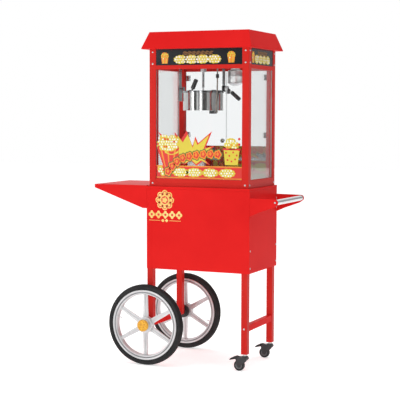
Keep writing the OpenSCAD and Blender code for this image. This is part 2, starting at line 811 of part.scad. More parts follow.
// A rectangular tube from the front leg to the rear leg
module cross_tube(x, z, w, h) {
    color(red) at_cart() translate([x, 0, z]) difference() {
        block([-w / 2, -leg_y + leg_w, -h / 2], [w / 2, leg_y - leg_w, h / 2]);
        block([-w / 2 + 2, -leg_y, -h / 2 + 2], [w / 2 - 2, leg_y, h / 2 - 2]);
    }
}
module cross_tubes() {
    cross_tube(stem_x, brace_z, leg_w - 3, 30);
    cross_tube(axle_x, wheel_r, 26, 26);
}

// Axle with a nut under each hub cap and a spacer between each leg and its wheel
module wheel_axle() {
    nut_y = wheel_y + hub_out + 0.4;
    color(silver) at_cart() translate([axle_x, 0, wheel_r]) rod_y(axle_r, -nut_y - 7, nut_y + 7);
    color(silver) at_cart() translate([axle_x, 0, wheel_r]) both_y() difference() {
        translate([0, nut_y, 0]) rotate([-90, 0, 0]) cylinder(r = 12.5, h = 6, $fn = 6);
        rod_y(axle_r + 0.05, 0, 300);
    }
    color(black) at_cart() translate([axle_x, 0, wheel_r]) both_y() difference() {
        union() {
            rod_y(18, leg_y + 0.1, wheel_y - hub_in - 8);
            rod_y(32, wheel_y - hub_in - 11, wheel_y - hub_in - 0.4);
        }
        rod_y(axle_r + 0.05, 0, 300);
    }
}

// A big wheel's parts are drawn with the axle along +Z and the outer side up.
module at_wheel(side) {
    at_cart() translate([axle_x, side * wheel_y, wheel_r]) rotate([side < 0 ? 90 : -90, 0, 0]) children();
}
module tyre() {
    half = tyre_w / 2;
    color(black) rotate_extrude($fn = 180) polygon(concat(
        [[rim_r, -half + 4]],
        arc([wheel_r - 10, -half + 9], 9, -115, -35, 5),
        arc([wheel_r - 26, 0], 26, -18, 18, 6),
        arc([wheel_r - 10, half - 9], 9, 35, 115, 5),
        [[rim_r, half - 4]]
    ));
}
module wheel() {
    spoke_from = hub_r - 6;
    spoke_to = rim_in_r + 3;
    color(silver) difference() {
        union() {
            rotate_extrude($fn = 180) polygon([
                [rim_in_r, -15], [rim_r - 3, -17], [rim_r, -14], [rim_r, 14], [rim_r - 3, 17], [rim_in_r, 15],
                [rim_in_r - 4, 9], [rim_in_r - 4, -9]
            ]);
            translate([0, 0, -12]) cylinder(r = hub_r, h = 26);
            translate([0, 0, -hub_in]) cylinder(r = 30, h = hub_in + hub_out);
            for (k = [0 : spoke_count - 1]) rotate([0, 0, 360 / spoke_count * (k + 0.5)]) {
                translate([0, 0, -5]) linear_extrude(10) polygon([
                    [spoke_from, -spoke_w / 2 - 2], [spoke_to, -spoke_w / 2 + 2],
                    [spoke_to, spoke_w / 2 - 2], [spoke_from, spoke_w / 2 + 2]
                ]);
                translate([0, 0, -7]) linear_extrude(14)
                    polygon([[spoke_from, -5], [spoke_to, -3], [spoke_to, 3], [spoke_from, 5]]);
            }
        }
        translate([0, 0, -hub_in - 1]) cylinder(r = axle_r + running, h = hub_in + hub_out + 2);
    }
}
// The gold cap over the nut at the axle's end
module hub_cap() {
    color([0.87, 0.65, 0.18]) translate([0, 0, hub_out]) rotate_extrude() polygon([
        [hub_cap_r - 5, 0], [hub_cap_r, 0], [hub_cap_r, cap_h - 3], [hub_cap_r - 3, cap_h], [0, cap_h],
        [0, cap_h - 2], [hub_cap_r - 5, cap_h - 2]
    ]);
}
module front_tyre() at_wheel(-1) tyre();
module front_wheel() at_wheel(-1) wheel();
module front_hub_cap() at_wheel(-1) hub_cap();
module rear_tyre() at_wheel(1) tyre();
module rear_wheel() at_wheel(1) wheel();
module rear_hub_cap() at_wheel(1) hub_cap();

// A caster's parts are drawn with the swivel axis through the origin and the wheel to the left of it.
module at_caster(side) at_cart() translate([stem_x, side * stem_y, 0]) children();
module caster_stem() {
    head_z = 51;
    translate([0, 0, head_z]) cylinder(r = stem_r, h = caster_leg_z + 18 - head_z);
    translate([0, 0, head_z]) cylinder(r = 9, h = 3);
    translate([0, 0, caster_leg_z - 6]) cylinder(r = 10, h = 6, $fn = 6);
}
module caster_stems() {
    color(silver) for (side = [-1, 1]) at_caster(side) caster_stem();
}
module caster_fork() {
    inside = caster_w / 2 + 1;
    color(black) difference() {
        union() {
            translate([0, 0, 55.3]) cylinder(r = 15, h = 16);
            translate([0, 0, 55.3]) block([-26, -inside - 3, 0], [0, inside + 3, 12]);
            both_y() along_y(inside, inside + 3) polygon(concat(
                [[2, 67], [-34, 67], [-43, 60], [-42, 50]],
                arc([-caster_trail, caster_r], 9, 190, 350, 8),
                [[8, 50], [15, 58], [13, 67]]
            ));
        }
        translate([0, 0, 40]) cylinder(r = stem_r + running, h = 40);
        translate([0, 0, 40]) cylinder(r = 9.5, h = 15.4);
        translate([-caster_trail, 0, caster_r]) rod_y(caster_r + 2, -inside, inside);
        // The brake's axle passes through both cheeks.
        translate([-caster_trail - 9, 0, 57]) rod_y(2 + running, -30, 30);
    }
    color(silver) translate([-caster_trail, 0, caster_r]) rod_y(3, -inside - 4, inside + 4);
}
module caster_wheel() {
    half = caster_w / 2;
    color(black) translate([-caster_trail, 0, caster_r]) rotate([90, 0, 0]) rotate_extrude($fn = 96) polygon([
        [3 + running, -half - 0.5], [7, -half - 0.5], [8, -half + 2], [caster_r - 7, -half + 2],
        [caster_r - 5, -half], [caster_r - 2, -half], [caster_r, -half + 3], [caster_r, half - 3],
        [caster_r - 2, half], [caster_r - 5, half], [caster_r - 7, half - 2], [8, half - 2],
        [7, half + 0.5], [3 + running, half + 0.5]
    ]);
}
module caster_brake() {
    inside = caster_w / 2 + 0.4;
    color(black) {
        translate([-caster_trail - 9, 0, 57]) rod_y(2, -caster_w / 2 - 5, caster_w / 2 + 5);
        along_y(-inside, inside) polygon([
            [-33, 60], [-42, 61], [-58, 57], [-73, 51], [-75, 48.5], [-72, 48], [-56, 53], [-45, 54], [-38, 54.5],
            [-33, 54.8]
        ]);
    }
}
module front_caster_fork() at_caster(-1) caster_fork();
module front_caster_wheel() at_caster(-1) caster_wheel();
module front_caster_brake() at_caster(-1) caster_brake();
module rear_caster_fork() at_caster(1) caster_fork();
module rear_caster_wheel() at_caster(1) caster_wheel();
module rear_caster_brake() at_caster(1) caster_brake();

module side_shelf() {
    tip_x = -half_w - shelf_reach;
    root_z = shelf_z - shelf_root_h;
    color(red) at_cart() difference() {
        along_y(-half_d, half_d) polygon([
            [-half_w, shelf_z], [tip_x, shelf_z], [tip_x, shelf_z - shelf_tip_h], [-half_w - 22, root_z],
            [-half_w, root_z]
        ]);
        along_y(-half_d + sheet_t, half_d - sheet_t) polygon([
            [-half_w - sheet_t, shelf_z - sheet_t], [tip_x + sheet_t, shelf_z - sheet_t],
            [tip_x + sheet_t, root_z - 10], [-half_w - sheet_t, root_z - 10]
        ]);
    }
}

// Two cheek plates with flanges on the cabinet
module handle_plates() {
    color(red) at_cart() both_y() {
        along_y(half_d - plate_t, half_d) polygon(concat(
            [[half_w, 814], [half_w, 728], [half_w + 40, 746], [half_w + 118, 774]],
            arc([bar_x, bar_z], handle_tip_r, -60, 90, 10)
        ));
        block([half_w, half_d - 24, 732], [half_w + plate_t, half_d - plate_t, 810]);
    }
}

// The tube that the cart is pushed by
module push_bar() {
    color(steel) at_cart() translate([bar_x, 0, bar_z]) difference() {
        rod_y(bar_r, -half_d + plate_t, half_d - plate_t);
        rod_y(bar_r - 1.5, -half_d, half_d);
    }
}

// A button-head screw, with its head's underside at z = 0
module screw() {
    cylinder(r = 4.5, h = 1.2);
    translate([0, 0, 1.2]) cylinder(r1 = 4.5, r2 = 3, h = 1.2);
    translate([0, 0, -4]) cylinder(r = 2, h = 4.1);
}
module screws() {
    color(silver) at_cart() {
        for (z = [872, 1440, 1495], s = [-1, 1]) {
            translate([s * (body_x - post_w / 2), -body_y, z]) rotate([90, 0, 0]) screw();
            translate([s * (body_x - post_w / 2), body_y, z]) rotate([-90, 0, 0]) screw();
            for (y = [-1, 1]) {
                translate([s * body_x, y * (body_y - post_d / 2), z]) rotate([0, s * 90, 0]) screw();
            }
        }
        for (z = [485, 566], s = [-1, 1], y = [-1, 1]) {
            translate([s * half_w, y * (half_d - 12), z]) rotate([0, s * 90, 0]) screw();
        }
        for (y = [-1, 1]) {
            translate([stem_x, y * leg_y, 200]) rotate([-y * 90, 0, 0]) screw();
            translate([bar_x, y * half_d, bar_z]) rotate([-y * 90, 0, 0]) screw();
            for (z = [750, 795]) {
                translate([half_w + plate_t, y * (half_d - 14), z]) rotate([0, 90, 0]) screw();
            }
        }
    }
}

roof_canopy();
corner_posts();
frame_rails();
base_tray();
deck_plate();
crumb_drawer();
sign_panels();
control_panel();
power_inlet();
motor_switch();
heat_switch();
lamp_switch();
front_glass();
side_glasses();
rear_guard();
door_hinges();
left_door();
left_door_fittings();
right_door();
right_door_fittings();
ceiling_plate();
drive_motor();
drive_shaft();
bearing_bushes();
kettle_hangers();
kettle_pot();
kettle_base();
kettle_yoke();
front_lid();
rear_lid();
lid_grip();
stirrer();
tilt_lever();
tilt_grip();
heater_lead();
lead_gland();
heat_lamp();
counter();
cabinet_panels();
cabinet_door();
legs();
cross_tubes();
wheel_axle();
front_tyre();
front_wheel();
front_hub_cap();
rear_tyre();
rear_wheel();
rear_hub_cap();
caster_stems();
front_caster_fork();
front_caster_wheel();
front_caster_brake();
rear_caster_fork();
rear_caster_wheel();
rear_caster_brake();
side_shelf();
handle_plates();
push_bar();
screws();
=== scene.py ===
# %% [markdown]
# # A popcorn machine on its cart
#
# The machine stands on a cabinet with two big wheels, two casters, a side shelf and a push bar.
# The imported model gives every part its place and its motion. This lesson gives each part its finish:
# powder coat, polished steel, glass, rubber, print and the small details of each.
# Lengths in this file are in metres, and a name that ends in MM holds millimetres.

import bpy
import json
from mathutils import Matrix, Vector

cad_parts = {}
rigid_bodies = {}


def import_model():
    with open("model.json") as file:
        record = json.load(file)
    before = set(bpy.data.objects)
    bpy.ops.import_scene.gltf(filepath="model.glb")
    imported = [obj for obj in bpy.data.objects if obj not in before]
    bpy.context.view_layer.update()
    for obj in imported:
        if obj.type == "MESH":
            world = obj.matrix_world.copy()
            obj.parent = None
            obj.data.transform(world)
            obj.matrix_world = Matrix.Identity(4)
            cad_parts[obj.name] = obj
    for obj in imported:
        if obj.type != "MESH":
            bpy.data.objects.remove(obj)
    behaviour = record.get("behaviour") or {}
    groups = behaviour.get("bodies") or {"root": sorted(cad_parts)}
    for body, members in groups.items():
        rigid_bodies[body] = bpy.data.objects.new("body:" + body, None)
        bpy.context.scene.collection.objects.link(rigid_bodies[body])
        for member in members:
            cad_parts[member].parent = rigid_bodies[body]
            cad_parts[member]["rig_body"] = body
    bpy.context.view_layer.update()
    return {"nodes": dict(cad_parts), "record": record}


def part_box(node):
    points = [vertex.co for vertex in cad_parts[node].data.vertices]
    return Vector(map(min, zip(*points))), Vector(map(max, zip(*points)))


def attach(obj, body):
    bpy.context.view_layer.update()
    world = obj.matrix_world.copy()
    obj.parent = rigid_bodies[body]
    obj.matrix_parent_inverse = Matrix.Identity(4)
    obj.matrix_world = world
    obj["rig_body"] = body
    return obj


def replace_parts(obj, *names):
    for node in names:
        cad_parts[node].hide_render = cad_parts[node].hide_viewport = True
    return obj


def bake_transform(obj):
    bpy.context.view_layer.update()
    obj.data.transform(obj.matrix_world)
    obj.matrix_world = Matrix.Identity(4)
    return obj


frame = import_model()

import json
import math
import random

import bmesh
import bpy
from mathutils import Matrix, Vector

MM = 0.001
SLOT_OF = {row["node"]: row["material_slot"] for row in frame["record"]["subparts"]}

# %% [markdown]
# ## Places that the frame gives
#
# A drawing starts from datum lines. Here they are the cart's middle, the glass, the signs and the
# axes of the wheels, all read from the boxes of the parts, so nothing has to be fitted by eye.

# %% Datum lines
cabinet_low, cabinet_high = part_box("cabinet_panels")
CART_X = (cabinet_low.x + cabinet_high.x) / 2
CABINET_FRONT = cabinet_low.y
glass_low, glass_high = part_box("front_glass")
signs_low, signs_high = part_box("sign_panels")
kettle_low, kettle_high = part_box("kettle_pot")
KETTLE_X = (kettle_low.x + kettle_high.x) / 2
KETTLE_RIM = kettle_high.z
print("cart middle x:", round(CART_X, 4), "glass front y:", round(glass_low.y, 4))


# %% Small helpers that every later cell uses
def into_scene(*objects):
    """Links new objects to the scene."""
    for made in objects:
        bpy.context.scene.collection.objects.link(made)


def evaluated_mesh(holder):
    """A plain mesh of what the object's modifiers make."""
    return bpy.data.meshes.new_from_object(holder.evaluated_get(bpy.context.evaluated_depsgraph_get()))


def new_mesh(name, verts, faces):
    """A mesh from points and faces."""
    mesh = bpy.data.meshes.new(name)
    mesh.from_pydata(verts, [], faces)
    return mesh


def in_mm(outline):
    """An outline given in millimetres, in metres."""
    return [tuple(value * MM for value in point) for point in outline]


def about(axis, degrees):
    """A turn about one axis."""
    return Matrix.Rotation(math.radians(degrees), 4, axis)


def moved(x, y, z):
    """A shift."""
    return Matrix.Translation((x, y, z))


print("helpers ready")

# %% [markdown]
# ## The camera
#
# The machine is seen from its front right, a little above the counter, with a long lens, so upright
# edges stay almost upright. A long lens far away is how a catalogue picture of a tall machine is taken.

# %% Camera
CAMERA_PLACE = (2.318, -5.2312, 1.1935)
CAMERA_TURN = (90 - 4.096, -0.167, 23.861)
lens = bpy.data.cameras.new("camera")
lens.sensor_width = 36
lens.lens = 105.8
camera = bpy.data.objects.new("camera", lens)
camera.location = CAMERA_PLACE
camera.rotation_euler = [math.radians(angle) for angle in CAMERA_TURN]
into_scene(camera)
bpy.context.scene.camera = camera
bpy.context.scene.view_settings.view_transform = "Standard"
print("lens:", lens.lens, "mm")

# %% [markdown]
# ## Floor and light
#
# A pale floor and big soft lamps show paint and steel without hard shadows. The floor glows a
# little, so that it stays white to the horizon. Polished steel shows whatever is round it, so
# dark and light upright screens stand behind the camera, and they give the kettle its bands.

# %% Floor
FLOOR_HALF = 20.0


def make_floor():
    """A wide pale sheet under the wheels."""
    corners = [(-1, -1), (1, -1), (1, 1), (-1, 1)]
    mesh = new_mesh("floor", [(x * FLOOR_HALF, y * FLOOR_HALF, 0) for x, y in corners], [(0, 1, 2, 3)])
    floor = bpy.data.objects.new("floor", mesh)
    into_scene(floor)
    finish = bpy.data.materials.new("floor_paint")
    finish.use_nodes = True
    shader = finish.node_tree.nodes["Principled BSDF"]
    shader.inputs["Base Color"].default_value = (0.95, 0.95, 0.95, 1)
    shader.inputs["Emission Color"].default_value = (1, 1, 1, 1)
    shader.inputs["Emission Strength"].default_value = 0.5
    shader.inputs["Roughness"].default_value = 0.9
    shader.inputs["Specular IOR Level"].default_value = 0.1
    mesh.materials.append(finish)


make_floor()
print("floor:", 2 * FLOOR_HALF, "m across")


# %% Lamps
def soft_lamp(name, place, target, width, height, power):
    """A rectangular area lamp that points from its place to a target."""
    data = bpy.data.lights.new(name, "AREA")
    data.shape = "RECTANGLE"
    data.size = width
    data.size_y = height
    data.energy = power
    lamp = bpy.data.objects.new(name, data)
    lamp.location = place
    lamp.rotation_euler = (Vector(target) - Vector(place)).to_track_quat("-Z", "Y").to_euler()
    into_scene(lamp)


soft_lamp("left_strip", (-2.7, -3.6, 1.7), (0, 0, 0.9), 0.7, 2.6, 38)
soft_lamp("front_strip", (0.7, -4.5, 1.5), (0, 0, 0.9), 0.5, 2.6, 20)
soft_lamp("top_lamp", (0.2, -0.2, 4.4), (0, 0, 0.8), 3.4, 3.4, 60)


# %% Screens round the machine
def colour_steps(ramp, steps):
    """Fills a colour ramp with (position, grey) steps."""
    ramp.elements[0].position, ramp.elements[1].position = steps[0][0], steps[-1][0]
    for (position, grey), made in zip((steps[0], steps[-1]), list(ramp.elements)):
        made.color = (grey, grey, grey, 1)
    for position, grey in steps[1:-1]:
        ramp.elements.new(position).color = (grey, grey, grey, 1)


def mix_colours(tree, share, first, second):
    """The output of a node that mixes two colours by a share."""
    mix = tree.nodes.new("ShaderNodeMix")
    mix.data_type = "RGBA"
    ends = [socket for socket in mix.inputs if socket.type == "RGBA"]
    for source, target in ((share, mix.inputs["Factor"]), (first, ends[0]), (second, ends[1])):
        tree.links.new(source, target)
    return [socket for socket in mix.outputs if socket.type == "RGBA"][0]


# Greys across the front half and the back half of the room, and how the one gives way to the other
FRONT_HALF = [
    (0.0, 0.8), (0.15, 0.9), (0.17, 0.06), (0.36, 0.05), (0.39, 1.0), (0.46, 1.0), (0.48, 0.05), (0.59, 0.08),
    (0.61, 1.0), (0.66, 0.9), (0.68, 0.06), (0.84, 0.10), (0.87, 0.7), (1.0, 0.5),
]
BACK_HALF = [(0.0, 1.0), (0.5, 1.0), (0.6, 0.46), (1.0, 0.36)]
FRONT_TO_BACK = [(0.0, 0.0), (0.28, 0.08), (0.56, 1.0), (1.0, 1.0)]


def light_surroundings():
    """A white room with dark and light upright screens behind the camera."""
    world = bpy.data.worlds.new("studio")
    bpy.context.scene.world = world
    world.use_nodes = True
    tree = world.node_tree
    new, link = tree.nodes.new, tree.links.new
    background = tree.nodes["Background"]
    split = new("ShaderNodeSeparateXYZ")
    link(new("ShaderNodeTexCoord").outputs["Generated"], split.inputs["Vector"])
    shades = []
    for axis, steps in (("X", FRONT_HALF), ("X", BACK_HALF), ("Y", FRONT_TO_BACK)):
        along, ramp = new("ShaderNodeMapRange"), new("ShaderNodeValToRGB")
        along.inputs["From Min"].default_value = -1
        colour_steps(ramp.color_ramp, steps)
        link(split.outputs[axis], along.inputs["Value"])
        link(along.outputs["Result"], ramp.inputs["Fac"])
        shades.append(ramp)
    screens, wall, depth = shades
    either = mix_colours(tree, depth.outputs["Color"], screens.outputs["Color"], wall.outputs["Color"])
    link(either, background.inputs["Color"])
    background.inputs["Strength"].default_value = 1.0


light_surroundings()
print("screens:", len(FRONT_HALF), "steps in front,", len(BACK_HALF), "behind")

# %% [markdown]
# ## Three effects that many finishes share
#
# No real surface has one colour and one gloss. The first group lays faint patches of a second
# colour over the first and lets the gloss wander. The second group is a fine relief: as an even
# grain it is the orange peel of powder coat or moulded plastic, and when it is stretched along one
# axis it is the brushing of steel. A third group lays spots of dust over rubber and wheels. They
# put out only colours and values, and each finish feeds them to its own shader.


# %% Shader node groups
def add_sockets(tree, inputs, outputs):
    """Named sockets of a node group: {name: (socket type, value)} and {name: socket type}."""
    for name, (kind, value) in inputs.items():
        socket = tree.interface.new_socket(name, in_out="INPUT", socket_type=kind)
        if value is not None:
            socket.default_value = value
    for name, kind in outputs.items():
        tree.interface.new_socket(name, in_out="OUTPUT", socket_type=kind)
    return tree.nodes.new("NodeGroupInput"), tree.nodes.new("NodeGroupOutput")


def build_patches():
    """Patches of a second colour, and a gloss that wanders between two values."""
    tree = bpy.data.node_groups.new("patches", "ShaderNodeTree")
    inside, outside = add_sockets(
        tree,
        {
            "Colour": ("NodeSocketColor", (0.5, 0.5, 0.5, 1)),
            "Patch Colour": ("NodeSocketColor", (0.4, 0.4, 0.4, 1)),
            "Patch Scale": ("NodeSocketFloat", 6.0),
            "Roughness Low": ("NodeSocketFloat", 0.3),
            "Roughness High": ("NodeSocketFloat", 0.4),
        },
        {"Colour": "NodeSocketColor", "Roughness": "NodeSocketFloat"},
    )
    link = tree.links.new
    place = tree.nodes.new("ShaderNodeTexCoord")
    noise = tree.nodes.new("ShaderNodeTexNoise")
    noise.inputs["Detail"].default_value = 5
    link(place.outputs["Object"], noise.inputs["Vector"])
    link(inside.outputs["Patch Scale"], noise.inputs["Scale"])
    spread = tree.nodes.new("ShaderNodeMapRange")
    spread.inputs["From Min"].default_value = 0.38
    spread.inputs["From Max"].default_value = 0.66
    link(noise.outputs["Fac"], spread.inputs["Value"])
    colour = mix_colours(tree, spread.outputs["Result"], inside.outputs["Colour"], inside.outputs["Patch Colour"])
    gloss = tree.nodes.new("ShaderNodeMapRange")
    link(noise.outputs["Fac"], gloss.inputs["Value"])
    link(inside.outputs["Roughness Low"], gloss.inputs["To Min"])
    link(inside.outputs["Roughness High"], gloss.inputs["To Max"])
    link(colour, outside.inputs["Colour"])
    link(gloss.outputs["Result"], outside.inputs["Roughness"])
    return tree


def build_grain():
    """A fine relief, stretched along the axes as asked."""
    tree = bpy.data.node_groups.new("grain", "ShaderNodeTree")
    inside, outside = add_sockets(
        tree,
        {
            "Scale": ("NodeSocketFloat", 900.0),
            "Stretch": ("NodeSocketVector", (1, 1, 1)),
        },
        {"Height": "NodeSocketFloat"},
    )
    link = tree.links.new
    place = tree.nodes.new("ShaderNodeTexCoord")
    stretch = tree.nodes.new("ShaderNodeVectorMath")
    stretch.operation = "MULTIPLY"
    noise = tree.nodes.new("ShaderNodeTexNoise")
    noise.inputs["Detail"].default_value = 2
    link(place.outputs["Object"], stretch.inputs[0])
    link(inside.outputs["Stretch"], stretch.inputs[1])
    link(stretch.outputs["Vector"], noise.inputs["Vector"])
    link(inside.outputs["Scale"], noise.inputs["Scale"])
    link(noise.outputs["Fac"], outside.inputs["Height"])
    return tree


def build_dust():
    """Dust in small spots, laid over the colour."""
    tree = bpy.data.node_groups.new("floor_dust", "ShaderNodeTree")
    inside, outside = add_sockets(
        tree,
        {
            "Colour": ("NodeSocketColor", (0.1, 0.1, 0.1, 1)),
            "Dust Colour": ("NodeSocketColor", (0.3, 0.28, 0.25, 1)),
            "Amount": ("NodeSocketFloat", 0.3),
        },
        {"Colour": "NodeSocketColor"},
    )
    link = tree.links.new
    place = tree.nodes.new("ShaderNodeTexCoord")
    noise = tree.nodes.new("ShaderNodeTexNoise")
    noise.inputs["Scale"].default_value = 38
    noise.inputs["Detail"].default_value = 6
    link(place.outputs["Object"], noise.inputs["Vector"])
    spots = tree.nodes.new("ShaderNodeMapRange")
    spots.inputs["From Min"].default_value = 0.42
    spots.inputs["From Max"].default_value = 0.72
    link(noise.outputs["Fac"], spots.inputs["Value"])
    share = tree.nodes.new("ShaderNodeMath")
    share.operation = "MULTIPLY"
    link(spots.outputs["Result"], share.inputs[0])
    link(inside.outputs["Amount"], share.inputs[1])
    colour = mix_colours(tree, share.outputs["Value"], inside.outputs["Colour"], inside.outputs["Dust Colour"])
    link(colour, outside.inputs["Colour"])
    return tree


PATCHES = build_patches()
GRAIN = build_grain()
DUST = build_dust()
print("node groups:", [group.name for group in (PATCHES, GRAIN, DUST)])

# %% [markdown]
# ## The finishes
#
# Every finish is made by one function from its colour, its second colour, its gloss and its
# relief. Values that are the same all over, such as metal or not, sit on the shader itself.


# %% A finish
def put_group(tree, group, values):
    """A node group placed in a material, with its values."""
    node = tree.nodes.new("ShaderNodeGroup")
    node.node_tree = group
    for name, value in values.items():
        node.inputs[name].default_value = value
    return node


def finish(name, colour, second, gloss, metal=0.0, grain=900.0, stretch=(1, 1, 1), relief=0.05,
           patch=6.0, coat=0.0, dust=0.0, depth_mm=0.05, specular=0.5):
    """A material with patches, a gloss that wanders and a fine relief."""
    material = bpy.data.materials.new(name)
    material.use_nodes = True
    tree = material.node_tree
    shader = tree.nodes["Principled BSDF"]
    link = tree.links.new
    patches = put_group(tree, PATCHES, {
        "Colour": (*colour, 1), "Patch Colour": (*second, 1), "Patch Scale": patch,
        "Roughness Low": gloss[0], "Roughness High": gloss[1],
    })
    colour_from = patches.outputs["Colour"]
    if dust:
        dusty = put_group(tree, DUST, {"Amount": dust})
        link(colour_from, dusty.inputs["Colour"])
        colour_from = dusty.outputs["Colour"]
    link(colour_from, shader.inputs["Base Color"])
    link(patches.outputs["Roughness"], shader.inputs["Roughness"])
    relief_from = put_group(tree, GRAIN, {"Scale": grain, "Stretch": stretch})
    bump = tree.nodes.new("ShaderNodeBump")
    bump.inputs["Strength"].default_value = relief
    bump.inputs["Distance"].default_value = depth_mm * MM
    link(relief_from.outputs["Height"], bump.inputs["Height"])
    link(bump.outputs["Normal"], shader.inputs["Normal"])
    shader.inputs["Metallic"].default_value = metal
    shader.inputs["Specular IOR Level"].default_value = specular
    if coat:
        shader.inputs["Coat Weight"].default_value = coat
        shader.inputs["Coat Roughness"].default_value = 0.12
    return material


# %% Paint, plastic, rubber and metal
RED_PAINT = finish("red_powder_coat", (0.75, 0.019, 0.018), (0.68, 0.015, 0.015), (0.26, 0.38),
                   grain=420.0, relief=0.22, patch=3.0, specular=0.012)
# The same red powder coat made darker as painted shade, for the legs, posts, rails and tray that stand back from the
# lit cabinet front.
RED_PAINT_PAINTED_SHADE = finish("red_coat_painted_shade", (0.62, 0.026, 0.020), (0.57, 0.021, 0.017), (0.26, 0.38),
                   grain=420.0, relief=0.22, patch=3.0, specular=0.05)
SIGN_BLACK = finish("sign_black", (0.010, 0.013, 0.016), (0.016, 0.018, 0.022), (0.16, 0.26), relief=0.03)
BLACK_PLASTIC = finish("black_plastic", (0.018, 0.018, 0.020), (0.032, 0.032, 0.034), (0.34, 0.52),
                       grain=1600.0, relief=0.3, patch=40.0)
POLISHED_STEEL = finish("polished_steel", (0.66, 0.66, 0.67), (0.58, 0.58, 0.59), (0.05, 0.13), metal=1.0,
                        grain=160.0, stretch=(1, 1, 9), relief=0.06, patch=14.0)
DARK_STEEL = finish("worn_steel", (0.40, 0.41, 0.42), (0.30, 0.31, 0.32), (0.18, 0.30), metal=1.0,
                    grain=260.0, stretch=(0.4, 6, 6), relief=0.12, patch=24.0)
KETTLE_STEEL = finish("kettle_steel", (0.60, 0.59, 0.58), (0.54, 0.54, 0.54), (0.09, 0.15), metal=1.0,
                      grain=90.0, relief=0.02, patch=30.0)
LAMP_STEEL = finish("lamp_steel", (0.66, 0.66, 0.66), (0.60, 0.60, 0.60), (0.34, 0.44), metal=1.0,
                    grain=90.0, relief=0.02, patch=30.0)
# Kettle steel made darker for the lids and yoke: a painted dark reflection along the kettle's rim, not a different
# metal.
PAINTED_REFLECTION_STEEL = finish("painted_reflection_steel", (0.34, 0.34, 0.35), (0.29, 0.29, 0.30), (0.12, 0.2), metal=1.0,
                   grain=90.0, relief=0.03, patch=30.0)
MIRROR_STEEL = finish("mirror_steel", (0.80, 0.80, 0.79), (0.74, 0.74, 0.74), (0.03, 0.06), metal=1.0,
                      grain=30.0, relief=0.02, patch=10.0)
BRUSHED_STEEL = finish("brushed_steel", (0.80, 0.81, 0.81), (0.70, 0.71, 0.72), (0.20, 0.32), metal=1.0,
                       grain=220.0, stretch=(0.4, 6, 6), relief=0.2, patch=20.0)
ZINC = finish("zinc_plate", (0.66, 0.67, 0.67), (0.54, 0.55, 0.57), (0.22, 0.38), metal=1.0,
              grain=700.0, relief=0.12, patch=60.0)
# Dark grey for the channel between the rim's lips: painted shade in that recess.
RIM_PAINTED_SHADE = finish("silver_shadow", (0.22, 0.22, 0.23), (0.30, 0.30, 0.31), (0.4, 0.55), metal=0.3,
                      grain=1200.0, relief=0.12, patch=30.0)
WHEEL_SILVER = finish("silver_lacquer", (0.72, 0.72, 0.73), (0.62, 0.62, 0.63), (0.30, 0.42), metal=0.35,
                      grain=1200.0, relief=0.12, patch=9.0, coat=0.2, dust=0.12)
HUB_GOLD = finish("gold_lacquer", (0.90, 0.50, 0.03), (0.58, 0.22, 0.012), (0.30, 0.42), metal=0.3,
                  grain=900.0, relief=0.1, patch=190.0, coat=0.3)
TYRE_RUBBER = finish("tyre_rubber", (0.010, 0.010, 0.011), (0.018, 0.018, 0.019), (0.55, 0.72),
                     grain=1300.0, relief=0.35, patch=24.0, dust=0.04, specular=0.25)
# A lighter grey for the caster rings: a painted highlight on the all-black casters.
CASTER_PAINTED_HIGHLIGHT = finish("caster_painted_highlight", (0.10, 0.10, 0.105), (0.14, 0.14, 0.145), (0.18, 0.3), grain=900.0,
                    relief=0.1)
CASTER_RUBBER = finish("caster_rubber", (0.014, 0.014, 0.015), (0.024, 0.024, 0.025), (0.38, 0.55),
                       grain=1500.0, relief=0.3, patch=60.0, dust=0.05, specular=0.3)
BRAID = finish("braid_metal", (0.34, 0.31, 0.27), (0.20, 0.18, 0.16), (0.30, 0.50), metal=0.7,
               grain=2400.0, relief=0.3, patch=90.0)
LAMP_WHITE = finish("frosted_lamp", (0.80, 0.82, 0.85), (0.72, 0.74, 0.78), (0.12, 0.25), relief=0.04,
                    patch=12.0, coat=0.5)


# %% [markdown]
# ## Clear sheets
#
# Thin window glass hardly bends what is behind it. So it is a see-through shader mixed with a
# mirror, and Fresnel says how much of each: almost none straight on, much more at a grazing
# angle. Edges look greener than faces because the light goes along the sheet there.

# %% Glass
def clear_sheet(name, tint, mirror_at_least):
    """A thin clear sheet with reflections that grow towards grazing angles."""
    material = bpy.data.materials.new(name)
    material.use_nodes = True
    tree = material.node_tree
    tree.nodes.remove(tree.nodes["Principled BSDF"])
    new, link = tree.nodes.new, tree.links.new
    out = tree.nodes["Material Output"]
    through = new("ShaderNodeBsdfTransparent")
    through.inputs["Color"].default_value = (*tint, 1)
    mirror = new("ShaderNodeBsdfPrincipled")
    mirror.inputs["Metallic"].default_value = 1.0
    mirror.inputs["Base Color"].default_value = (0.96, 0.97, 0.97, 1)
    mirror.inputs["Roughness"].default_value = 0.03
    fresnel = new("ShaderNodeFresnel")
    fresnel.inputs["IOR"].default_value = 1.3
    share = new("ShaderNodeMapRange")
    share.inputs["To Min"].default_value = mirror_at_least
    share.inputs["To Max"].default_value = 0.4
    mix = new("ShaderNodeMixShader")
    link(fresnel.outputs["Fac"], share.inputs["Value"])
    link(share.outputs["Result"], mix.inputs["Fac"])
    link(through.outputs["BSDF"], mix.inputs[1])
    link(mirror.outputs["BSDF"], mix.inputs[2])
    link(mix.outputs["Shader"], out.inputs["Surface"])
    return material


GLASS = clear_sheet("window_glass", (0.984, 0.989, 0.989), 0.005)
ACRYLIC = clear_sheet("door_acrylic", (0.985, 0.990, 0.993), 0.008)
SHEET_EDGE = finish("sheet_edge", (0.42, 0.50, 0.50), (0.34, 0.44, 0.43), (0.15, 0.3), relief=0.05, patch=20.0)

